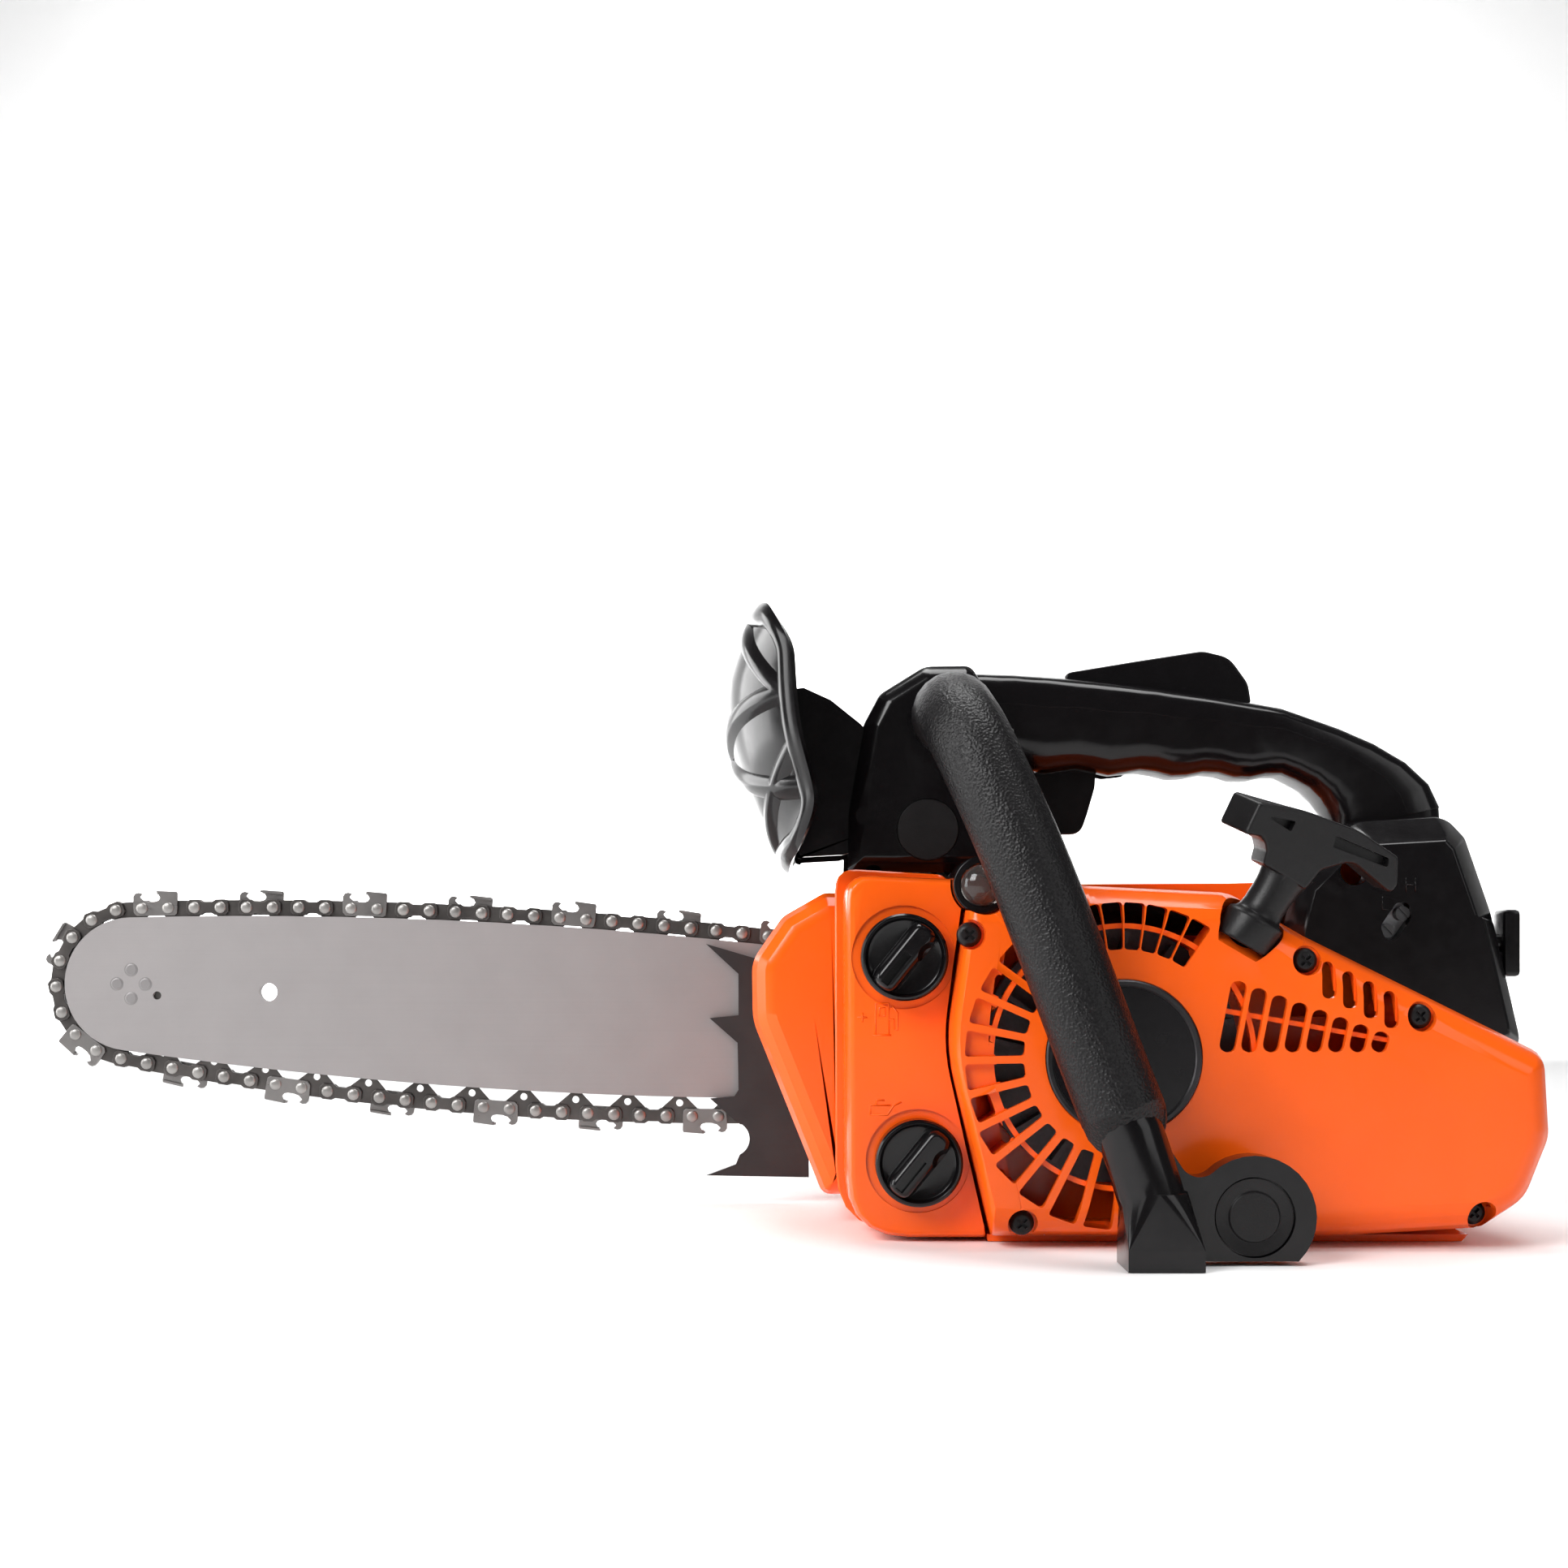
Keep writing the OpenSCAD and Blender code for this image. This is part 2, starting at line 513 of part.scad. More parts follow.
module starter_cover() color(orange) difference() {
    union() {
        difference() {
            moulding(cover_corners, [for (l = cover_levels) [l[0] - starter_reach, l[1]]]);
            moulding(cover_corners, [[-starter_reach + cover_wall, 10.5 + cover_wall],
                [-starter_reach + 5 + cover_wall, 3 + cover_wall], [-case_half + 1, cover_wall]]);
            slab(-starter_reach - 1, -starter_reach + 12) starter_slots_2d();
        }
        tube(0, crank_z, 41, 39.4, -starter_reach + 2, -starter_reach + 5.6);
        slab(-starter_reach + 2, -starter_reach + 5) polygon([[28, 73], [84, 63], [84, 64.4], [28, 74.6]]);
        rod(0, crank_z, 27, -starter_reach, spring_y - 0.2);
        rod(0, crank_z, 6, -starter_reach + 1, pulley_end + gap);
        for (s = cover_screw_places) intersection() {
            rod(s[0], s[1], 6, s[2], -case_half);
            moulding(cover_corners, [for (l = cover_levels) [l[0] - starter_reach, l[1]]]);
        }
        intersection() {
            along_pull(-14) cylinder(r = 11, h = 15);
            moulding(cover_corners, [for (l = cover_levels) [l[0] - starter_reach, l[1]]]);
        }
    }
    rod(0, crank_z, badge_r + 0.3, -starter_reach - 3, -starter_reach + 1.4);
    for (s = cover_screw_places) {
        rod(s[0], s[1], 4.6, -starter_reach - 3, s[2], 32);
        rod(s[0], s[1], 2.2, -starter_reach - 3, -case_half + 1, 24);
    }
    along_pull(-2.5) cylinder(r = 10.4, h = 30);
    along_pull(-20) cylinder(r = 4, h = 30);
    rod(primer[0], primer[1], 9.5, -starter_reach - 3, -20);
    rod(lower_mount[0], lower_mount[1], 9 + gap, -starter_reach - 3, -28);
}

module starter_badge() color(black) {
    turning(0, crank_z) polygon([[0, -starter_reach + 1.4], [badge_r, -starter_reach + 1.4],
        [badge_r, -starter_reach - 0.4], [badge_r - 0.6, -starter_reach - 0.8],
        [badge_r - 2, -starter_reach - 0.8], [badge_r - 2.2, -starter_reach - 0.3],
        [0, -starter_reach - 0.3]]);
}

// Pan-head screw along y whose head seats at y0, seen from -y
module screw(x, z, y0, length, head = 3.9, shank = 1.9) difference() {
    turning(x, z) polygon([[0, y0 - 2.4], [head - 1.6, y0 - 2.4], [head - 0.3, y0 - 1.4], [head, y0],
        [shank, y0], [shank, y0 + length], [0, y0 + length]]);
    for (a = [45, 135]) translate([x, y0 - 1.9, z]) rotate([0, a, 0]) cube([3.8, 2, 0.9], center = true);
}

module cover_screws() color(black) {
    for (s = cover_screw_places) screw(s[0], s[1], s[2], -case_half + 12 - s[2]);
    for (z = bumper_screw_z) {
        rod(bumper_screw_x, z, 1.9, bumper_y - 6, bumper_y + bumper_t, 24);
        rod(bumper_screw_x, z, 3.6, bumper_y + bumper_t, bumper_y + bumper_t + 0.7, 32);
    }
}

// Stack in the starter bay, from the cover inwards
spring_y = -starter_reach + cover_wall + 0.8;
spring_w = 2;
flange = 1.6;
pulley_y = spring_y + spring_w + gap;
groove_y = pulley_y + flange;
groove_end = groove_y + rope_d + 2;
pulley_end = groove_end + flange + 2.2;
shaft_end = pulley_end + 1.4;
nut_t = 3.4;
fan_y = shaft_end + nut_t;
fan_t = -case_half - 1 - fan_y;

module recoil_spring() color(steel) tube(0, crank_z, 17, 6.4, spring_y, spring_y + spring_w);

module rope_bushing() color(black) along_pull(-6) difference() {
    cylinder(r = 4, h = 3.5);
    translate([0, 0, -1]) cylinder(r = rope_d / 2 + 0.3, h = 6, $fn = 24);
}

module starter_pulley() color(black) turning(0, crank_z)
    polygon([[6 + fit, pulley_y], [pulley_r + 5, pulley_y], [pulley_r + 5, groove_y],
        [pulley_r - 2, groove_y],
        [pulley_r - 2, groove_end], [pulley_r + 5, groove_end], [pulley_r + 5, groove_end + flange],
        [12, groove_end + flange], [12, pulley_end], [6 + fit, pulley_end]]);

// ---- engine ---------------------------------------------------------------

module flywheel() color(alloy) difference() {
    union() {
        turning(0, crank_z) translate([0, fan_y]) polygon([[0, 0], [12, 0], [15, fan_t * 0.32],
            [flywheel_r, fan_t * 0.42], [flywheel_r, fan_t * 0.84], [14, fan_t * 0.84], [12, fan_t],
            [0, fan_t]]);
        for (k = [0:blades - 1]) translate([0, fan_y, crank_z]) rotate([0, k * 360 / blades, 0])
            translate([17, 0, 0]) rotate([0, 14, 0]) cube([flywheel_r - 19, fan_t * 0.474, 1.6]);
    }
    rod(0, crank_z, crank_r, fan_y - 5, -case_half);
}

module flywheel_nut() color(steel) difference() {
    translate([0, fan_y, crank_z]) rotate([90, 0, 0]) cylinder(r = 8, h = nut_t, $fn = 6);
    rod(0, crank_z, crank_r, shaft_end - 5, fan_y + 2);
}

web_r = 21;
module crankshaft() color(steel) {
    rod(0, crank_z, crank_r, shaft_end, -10);
    rod(0, crank_z, crank_r, 10, drum_end + 1);
    for (y = [-10, 4]) slab(y, y + 6) translate([0, crank_z]) intersection() {
        circle(r = web_r);
        translate([-web_r, -web_r]) square([2 * web_r, web_r + 16]);
    }
    rod(0, crank_z + 13, 5, -5, 5);
}

module crankcase() color(alloy) difference() {
    union() {
        rod(0, crank_z, case_r, -crankcase_half, crankcase_half);
        cylinder_frame() translate([-20, -20, 0]) cube([40, 40, 30]);
    }
    rod(0, crank_z, web_r + 3, -12, 12);
    rod(0, crank_z, 13, -crankcase_half - 1, crankcase_half + 1);
    cylinder_frame() cylinder(r = 17, h = 31);
}

module crank_bearings() color(steel) for (s = [-1, 1])
    let (y = s * (crankcase_half - 7)) tube(0, crank_z, 13, crank_r + fit, y - 5, y + 5);

module engine_cylinder() color(alloy) cylinder_frame() difference() {
    union() {
        translate([0, 0, 30]) cylinder(r = 18.5, h = cylinder_reach - 30);
        translate([-20, -20, 30]) cube([40, 40, 4]);
        for (k = [0:fins - 1]) translate([0, 0, 38 + k * (cylinder_reach - 40) / (fins - 1)])
            linear_extrude(2) offset(r = 6) square(2 * fin_half - 12, center = true);
        translate([0, -12, port_reach - 8]) cube([fin_half, 24, 16]);
        translate([-fin_half - 2, -11, port_reach - 8]) cube([fin_half, 22, 16]);
    }
    translate([0, 0, cylinder_reach - 14]) cylinder(r = 5, h = 20);
}

module spark_plug() color("#d8d4cc") cylinder_frame() {
    translate([0, 0, cylinder_reach - 14]) cylinder(r = 5, h = 14);
    translate([0, 0, cylinder_reach]) cylinder(r = 7.5, h = 4, $fn = 6);
    translate([0, 0, cylinder_reach + 4]) cylinder(r = 4.5, h = 8);
}

module muffler() color(steel) difference() {
    union() {
        slab(-14, muffler_end) offset(r = 4) offset(delta = -4)
            polygon([for (c = muffler_corners) [c[0], c[1]]]);
        intersection() {
            cylinder_frame() translate([-66, -10, port_reach - 7]) cube([66 - fin_half - 2, 20, 14]);
            slab(-14, muffler_end) polygon([[-90, 40], [-30, 40], [-30, 112], [-90, 112]]);
        }
    }
    rod(-92, 82, 4, -20, -10);
}

module intake_manifold() color(rubber) hull() {
    translate(intake_start + [1.5, 0, 0]) rotate([0, 90 - cylinder_lean, 0])
        cylinder(r = duct_r, h = 1, $fn = 32);
    translate([carb[0] - carb_half[0] - 1, carb[1], carb[2] + 1]) rotate([0, 90, 0])
        cylinder(r = duct_r - 1, h = 1, $fn = 32);
}

module carburettor() color(alloy) difference() {
    union() {
        translate(carb - carb_half) cube(2 * carb_half);
        translate([carb[0], carb[1], carb[2] - carb_half[2] - 5]) cylinder(r = 7, h = 6);
    }
    for (p = needle_places) rod(p[0], p[1], 1.6, -50, carb[1], 24);
}
needle_places = [[90, 98], [95, 103.5]];

module adjuster_screws() color("#b08d4f") for (p = needle_places) difference() {
    union() {
        rod(p[0], p[1], 1.6, carb[1] - carb_half[1], carb[1] - 4, 24);
        rod(p[0], p[1], 2.3, carb[1] - carb_half[1] - 4, carb[1] - carb_half[1], 24);
    }
    translate([p[0], carb[1] - carb_half[1] - 4, p[1]]) rotate([0, 45, 0])
        cube([5, 1.6, 0.7], center = true);
}

filter_x = 102;
module air_filter() color("#3f4347") difference() {
    slab(-40, wall_y) offset(r = 3) polygon([[filter_x + 3, 88], [filter_x + 14, 88], [filter_x + 9, 122],
        [filter_x + 3, 122]]);
    translate([90, carb[1], 95]) rotate([0, 90, 0]) cylinder(r = 3.2, h = 50);
}

filter_corners = [[60.5, 98.3, 4], [135.5, 64, 3], [127, 104, 30], [118.5, 128.5, 5], [112, 135.5, 8],
    [82, 133.8, 8], [61, 113, 5]];
knob_z = 94;

module air_filter_cover() color(black) difference() {
    moulding(filter_corners, [[-50, 9.5], [-49, 8.2], [-38, 0.6], [-34, 0], [wall_y, 0]]);
    difference() {
        moulding(filter_corners, [[-50 + cover_wall, 10.5], [-38 + cover_wall, 0.6 + cover_wall],
            [wall_y + 1, cover_wall]]);
        block(60, 140, -60, 10, 50, 66);
    }
    slab(-60, -40) slot_2d([90, 98], [95, 103.5], 5.2);
    block(55, 80.5, -44, 0, 88, 113.5);
    slab(-45, wall_y + 1) polygon([[66, 110], [66, 60], [126, 60], [126, 88]]);
    rod(79, 117, 4.6, -60, -45, 32);
    translate([110, carb[1], knob_z]) rotate([0, 90, 0]) cylinder(r = 3 + fit, h = 50);
}

module filter_knob() color(black) translate([0, carb[1], knob_z]) {
    translate([126, 0, 0]) rotate([0, 90, 0]) cylinder(r = 3, h = 8);
    translate([134.6, 0, 0]) rotate([0, 90, 0]) linear_extrude(6)
        offset(r = 2) square([18, 8], center = true);
    translate([130.5, 0, 0]) rotate([0, 90, 0]) cylinder(r = 6, h = 4.5);
}

module ignition_coil() color(rubber) difference() {
    slab(fan_y + 2, -case_half) polygon([[38, 46], [40, 30], [60, 26], [63, 42], [52, 52]]);
    rod(0, crank_z, flywheel_r + 1, fan_y - 8, -case_half + 2);
}

module cylinder_cover() color(orange) difference() {
    slab(-41, 35) offset(r = 1.2, $fn = 16) offset(delta = -1.2)
        polygon([[-18, deck_at(-18)], [37, deck_at(37)], [40.5, deck_z - 2.2], [57, deck_z - 12],
            [57.5, 119], [40, 117.5], [-18, 116.4]]);
    slab(-38.4, 32) polygon([[-24, deck_z - 4], [54, deck_z - 14], [54.5, 116.5], [39, 115], [-24, 114]]);
    block(50, 60, -37, 0, deck_z - 20, deck_z + 1.5);
    for (x = [-12:9:33]) block(x, x + 4, 6, 26, deck_z - 4, 130);
}

// ---- handles --------------------------------------------------------------

block_z = 116.8;
block_corners = [[-83, block_z, 2], [-22, block_z, 4], [-19, 148, 8], [-41.5, 186, 4], [-57, 185.8, 8],
    [-72, 176.5, 6], [-77, 167, 5], [-82.6, 137, 8]];
guard_pivot = [-77, 136];
guard_inner = 24;
trigger_pivot = [-14, 160];
lockout_pivot = [-2, 180];
pin_r = 1.5;
plug_place = [-56.3, 131.3];

// Stations of the top grip: outer point, inner point
function grip_outer_z(x) = 185.6 - 0.00425 * pow(x + 41.5, 1.7);
function grip_inner_z(x) = 151.5 - 0.03 * x + cos(16 * (x - 18));
grip_bend = [[[72, 171.2], [69, 148.6]], [[84, 167], [74, 146]], [[96, 161.8], [77.5, 142.5]],
    [[107, 155.4], [79.3, 139]], [[115, 148], [80.2, 135.5]], [[118.8, 140], [80.6, 131.5]]];
leg_foot_z = 94;
grip_line = concat([for (x = [-41.5:5.3:64.5]) [[x, grip_outer_z(x)], [x, grip_inner_z(x)]]], grip_bend);
parting = 0.34;

function bulge(a, e) = sign(a) * pow(abs(a), e);
function grip_ring(outer, inner, side) =
    let (m = outer + (inner - outer) * parting, tip = side > 0 ? outer : inner)
    [for (a = [0:18:180]) let (p = m + (tip - m) * bulge(sin(a), 0.6))
        [p[0], -side * grip_half * bulge(cos(a), 0.42), p[1]]];

module grip_half_loft(side, count)
    loft([for (k = [0:count - 1]) grip_ring(grip_line[k][0], grip_line[k][1], side)]);

// Rear leg, from the last station of the grip down to its foot
module rear_leg() {
    w = grip_half - 0.5;
    loft(concat([for (k = [2, 1]) inner_ring(grip_line[len(grip_line) - k], k)], [for (z = [120, leg_foot_z])
        [for (p = rounded([[81, w, 5], [81, -w, 5], [119, -w, 5], [119, w, 5]])) [p[0], p[1], z]]]));
}

// Whole ring of a station, drawn in towards its middle so that the leg starts inside the grip
function inner_ring(station, k) =
    let (upper = grip_ring(station[0], station[1], 1),
        ring = concat(grip_ring(station[0], station[1], -1), [for (i = [1:len(upper) - 2]) upper[i]]),
        middle = mean(ring))
    [for (p = ring) p + (middle - p) * 0.015 * k];

module handle_body() color(black) difference() {
    union() {
        moulding(block_corners, [[-block_half, 6], [-block_half + 1, 3.2], [-block_half + 4, 0.6],
            [-block_half + 7, 0], [block_half - 7, 0], [block_half - 4, 0.6], [block_half - 1, 3.2],
            [block_half, 6]]);
        grip_half_loft(-1, len(grip_line));
        rear_leg();
    }
    block(-90, -26, -guard_inner - 3.6, guard_inner + 3.6, 116, 166);
    block(-90, -78, -guard_inner - 3.6, guard_inner + 3.6, 150, 172);
    block(-26, 12, -trigger_w / 2 - 0.5, trigger_w / 2 + 0.5, 140, 200);
    block(-10, 58, -6.7, 6.7, 166, 200);
    for (p = [trigger_pivot, lockout_pivot]) rod(p[0], p[1], pin_r, -9, 9, 24);
    for (s = [-1, 1]) rod(guard_pivot[0], guard_pivot[1], 3, s * 30 - 5, s * 30 + 5, 24);
    rod(plug_place[0], plug_place[1], 10.2, -block_half - 1, -block_half + 1.2);
    translate([switch_x, block_half - 2, switch_z]) cube([10.8, 8, 18.8], center = true);
    grip_half_loft(1, len(grip_line));
}
switch_x = -52;
switch_z = 152;

module handle_top_cover() color(black) difference() {
    grip_half_loft(1, len(grip_line));
    block(-10, 58, -6.7, 6.7, 160, 200);
    block(-26, 12, -trigger_w / 2 - 0.5, trigger_w / 2 + 0.5, 140, 176);
    rod(lockout_pivot[0], lockout_pivot[1], pin_r, -9, 9, 24);
}

// Smooth curve through the points of the front handle
handle_route = [[-50, -26, 165], [-50, -32, 165], [-50.5, -62, 166.5], [-49.8, -79, 162.5],
    [-46.5, -89, 154], [-38, -97, 133.5], [-28.4, -103, 108.7], [-10.5, -111, 58.7], [-2.5, -114, 37],
    [4, -115.5, 16], [6, -116, 10]];
function spline(q, i, t) = 0.5 * ((2 * q[i]) + (q[i + 1] - q[i - 1]) * t
    + (2 * q[i - 1] - 5 * q[i] + 4 * q[i + 1] - q[i + 2]) * t * t
    + (3 * q[i] - q[i - 1] - 3 * q[i + 1] + q[i + 2]) * t * t * t);
function route(u) = let (i = min(len(handle_route) - 3, max(1, floor(u)))) spline(handle_route, i, u - i);
function ring_about(p, t, r, n = 16) =
    let (a = unit(cross([1, 0, 0], t)), b = cross(a, t))
    [for (k = [0:n - 1]) p + r * (cos(k * 360 / n) * a + sin(k * 360 / n) * b)];
function ring_at(u, r) = ring_about(route(u), unit(route(u + 0.01) - route(u - 0.01)), r);
sleeve_end = 7.65;

module front_handle() color(black) difference() {
    union() {
        loft(concat([ring_about(handle_route[1], [0, -1, 0], tube_r)],
            [for (u = [1.3:0.3:9]) ring_at(u, tube_r)]));
        hull() {
            translate([3.4, -115.3, 18]) cylinder(r = tube_r, h = 4, $fn = 24);
            block(-5.5, 16.5, -125.5, -104, 0, 6);
        }
        slab(-lobe_face, -lobe_face + 9) intersection() {
            offset(r = -6, $fn = 32) offset(delta = 6) {
                translate(lower_mount) circle(r = 18);
                polygon([[8, 1.2], [lower_mount[0], 1.2], [lower_mount[0], 16], [14, 26], [2, 44], [-4, 30]]);
            }
            translate([-10, 1.2]) square([80, 60]);
        }
    }
    rod(lower_mount[0], lower_mount[1], 11.8, -lobe_face - 1, -lobe_face + 2);
    rod(lower_mount[0], lower_mount[1], 9 + gap, -lobe_face - 1, -90);
}
lobe_face = 112;

module front_handle_sleeve() color(rubber) difference() {
    loft([for (u = [1.6:0.28:sleeve_end]) ring_at(u, tube_r + sleeve_wall)]);
    loft([for (u = [1.52:0.28:sleeve_end + 0.2]) ring_at(u, tube_r + 0.2)]);
}

module av_mounts() color(rubber) {
    rod(lower_mount[0], lower_mount[1], 9, -lobe_face + 2.4, -28);
    translate([100, 0, mount_foot_z]) cylinder(r = 10, h = leg_foot_z - mount_foot_z);
    for (s = [-1, 1]) translate([-74, s * 29, deck_z + (s < 0 ? 4.4 : 0)])
        cylinder(r = 2.4, h = block_z - deck_z - (s < 0 ? 4.4 : 0), $fn = 32);
}

module mount_caps() color(black) {
    turning(lower_mount[0], lower_mount[1]) translate([0, -lobe_face])
        polygon([[0, 0.6], [7.2, 0.6], [7.6, 1.3], [11.4, 0.8], [11.4, 2], [9.2, 2], [9.2, 2.4], [0, 2.4]]);
    rod(plug_place[0], plug_place[1], 9.9, -block_half - 0.4, -block_half + 1.2);
}

// ---- hand guard -----------------------------------------------------------

guard_mid = 176;
function guard_low(v) = 119.5 + 9 * v * v;
function guard_high(v) = 208 - 8 * v * v;
function guard_x(v, z) = -121.8 + (z < guard_mid ? 0.0068 : 0.0135) * pow(z - guard_mid, 2)
    + max(3, 21 - 0.012 * pow(z - 166, 2)) * v * v;
function guard_point(v, w, depth) = let (z = guard_low(v) + (guard_high(v) - guard_low(v)) * w)
    [guard_x(v, z) + depth, v * guard_half, z];

// Raised rib along the guard face between two places [across, up], both 0 to 1
module guard_rib(a, b, bow = 0, w = 1.5, rise = 2) {
    steps = 10;
    function place(t) = let (d = b - a) a + d * t + bow * sin(180 * t) * unit([-d[1], d[0]]);
    function centre(t) = let (p = place(t)) guard_point(2 * p[0] - 1, p[1], 0);
    loft([for (k = [0:steps]) let (t = k / steps, c = centre(t), e = centre(t + 0.02) - centre(t - 0.02),
        s = unit([0, -e[2], e[1]]) * w) [c + [-rise, 0, 0] + s * 0.7, c + [-rise, 0, 0] - s * 0.7,
            c + [1, 0, 0] - s, c + [1, 0, 0] + s]]);
}

module guard_shell() {
    m = 14;
    n = 12;
    function at(i, j, side) = side * (m + 1) * (n + 1) + i * (n + 1) + j;
    points = [for (side = [0, 1]) for (i = [0:m]) for (j = [0:n])
        guard_point(2 * i / m - 1, j / n, side * guard_wall)];
    faces = [for (i = [0:m - 1]) for (j = [0:n - 1]) each [
        [at(i, j, 0), at(i + 1, j, 0), at(i, j + 1, 0)],
        [at(i + 1, j, 0), at(i + 1, j + 1, 0), at(i, j + 1, 0)],
        [at(i, j, 1), at(i, j + 1, 1), at(i + 1, j, 1)],
        [at(i + 1, j, 1), at(i, j + 1, 1), at(i + 1, j + 1, 1)]]];
    rows = [for (i = [0:m - 1]) each [
        [at(i, 0, 0), at(i, 0, 1), at(i + 1, 0, 0)], [at(i + 1, 0, 0), at(i, 0, 1), at(i + 1, 0, 1)],
        [at(i, n, 0), at(i + 1, n, 0), at(i, n, 1)], [at(i + 1, n, 0), at(i + 1, n, 1), at(i, n, 1)]]];
    columns = [for (j = [0:n - 1]) each [
        [at(0, j, 0), at(0, j + 1, 0), at(0, j, 1)], [at(0, j, 1), at(0, j + 1, 0), at(0, j + 1, 1)],
        [at(m, j, 0), at(m, j, 1), at(m, j + 1, 0)], [at(m, j, 1), at(m, j + 1, 1), at(m, j + 1, 0)]]];
    polyhedron(points, concat(faces, rows, columns));
}

arm_t = 3;
arm_y = guard_inner + arm_t / 2;
module hand_guard() color(black) difference() {
    union() {
        guard_shell();
        for (x = [0.02, 0.98]) guard_rib([x, 0.01], [x, 0.99], 0, 1.6, 2.6);
        for (z = [0.02, 0.98]) guard_rib([0.02, z], [0.98, z], 0, 1.6, 2.6);
        for (s = [0, 1]) {
            guard_rib([s, 0.22], [1 - s, 0.66], s == 0 ? -0.05 : 0.05);
            guard_rib([s, 0.6], [0.5, 0.98], s == 0 ? 0.06 : -0.06);
            guard_rib([s, 0.45], [0.5, 0.03], s == 0 ? -0.05 : 0.05);
        }
        for (s = [-1, 1]) slab(s * arm_y - arm_t / 2, s * arm_y + arm_t / 2)
            offset(r = 3, $fn = 24) offset(delta = -3) polygon([[-116, 176], [-81, 168], [-80, 150],
                [-70, 142], [-70, 131], [-80, 124], [-100, 122.5]]);
    }
    rod(guard_pivot[0], guard_pivot[1], 3 + fit, -40, 40, 24);
    moulding_front();
}

// Everything in front of the guard face, to trim the arms
module moulding_front() for (s = [-1, 1]) slab(s * arm_y - arm_t, s * arm_y + arm_t)
    let (v = guard_inner / guard_half) polygon(concat([[-160, 100], [-110, 100]],
        [for (z = [118:6:208]) [guard_x(v, z) + 1, z]], [[-160, 214]]));

module control_pins() color(steel) {
    for (p = [trigger_pivot, lockout_pivot]) rod(p[0], p[1], pin_r, -9, 9, 24);
    for (s = [-1, 1]) {
        rod(guard_pivot[0], guard_pivot[1], 3, s * 27.5 - 4, s * 27.5 + 4, 24);
    }
}

module throttle_trigger() color(black) difference() {
    slab(-trigger_w / 2, trigger_w / 2) offset(r = 2.4, $fn = 24) offset(delta = -2.4)
        polygon([[-20, 164], [-9, 165], [3, 157], [2.4, 147], [-0.6, 137.5], [-3.4, 131], [-10, 131],
            [-17, 145]]);
    rod(trigger_pivot[0], trigger_pivot[1], pin_r + fit, -20, 20, 24);
}

module throttle_lockout() color(black) difference() {
    slab(-6, 6) offset(r = 2, $fn = 24) offset(delta = -2)
        polygon([[-6, 176.5], [-8, 184.6], [17, 188], [31, 190.4], [42, 191.2], [49, 188.6], [53.4, 184],
            [55.6, 176], [50, 174.6], [30, 178], [10, 178], [4, 176]]);
    rod(lockout_pivot[0], lockout_pivot[1], pin_r + fit, -20, 20, 24);
}

module stop_switch() color("#a8201c") translate([switch_x, block_half - 1.6, switch_z - 2]) {
    translate([-5, -4, -7]) cube([10, 5, 14]);
    translate([-4, 1, -3]) cube([8, 3.4, 6]);
}

// ---- clutch side ----------------------------------------------------------

clutch_corners = [[-92, 34, 8], [-62, 20, 10], [8, 15, 22], [38, 34, 18], [43, 72, 18], [24, 97, 14],
    [-20, 104, 20], [-92, 101, 8]];
pad_y = bar_y + bar_half;
cover_in = pad_y + 1.65;
drum_y = bar_y + 4;
drum_end = clutch_reach - 10;
clutch_end = drum_end - 3;

module clutch_cover() color(orange) difference() {
    union() {
        difference() {
            union() {
                moulding(clutch_corners, [[cover_in, 0], [clutch_reach - 8, 1], [clutch_reach - 3, 3.4],
                    [clutch_reach, 9]]);
                intersection() {
                    moulding(clutch_corners, [[case_half + gap, 0], [cover_in + 1, 0]]);
                    block(33, 80, 0, 90, 20, 100);
                }
            }
            moulding(clutch_corners, [[case_half, cover_wall],
                [clutch_reach - 8 - cover_wall, cover_wall + 1], [clutch_reach - cover_wall, 9 + cover_wall]]);
            for (z = [36:7:84]) block(-84, -66, 60, 90, z, z + 3);
        }
        for (x = [stud_x, -80]) bar_boss(x, x == stud_x ? 13 : 6);
    }
    bar_hole(stud_x, 0, 11, nut_seat, 90);
    bar_hole(stud_x, 0, stud_r + 0.2, 30, 90);
    rod(0, crank_z, 30, cover_in - 10, clutch_reach - 6);
}
nut_seat = clutch_reach - 15;
module bar_boss(x, r)
    bar_frame(0) translate([x, 0, -clutch_reach + 2]) cylinder(r = r, h = clutch_reach - 2 - pad_y);

module bar_stud() color(steel) bar_hole(stud_x, 0, stud_r, case_half - 22, clutch_reach - 3);

module bar_nut() color(steel) difference() {
    union() {
        bar_hole(stud_x, 0, 9.5, nut_seat, nut_seat + 2);
        bar_frame(0) translate([stud_x, 0, -nut_seat - 9]) cylinder(r = 7.5, h = 8, $fn = 6);
    }
    bar_hole(stud_x, 0, stud_r, 50, 90);
}

module chain_tensioner() color(steel) {
    bar_hole(tension_x, tension_z, 3, case_half - 6, pad_y + 0.5);
    block(-80, -51, case_half - 5.8, case_half - 0.2, crank_z - 13, crank_z - 7.5);
}

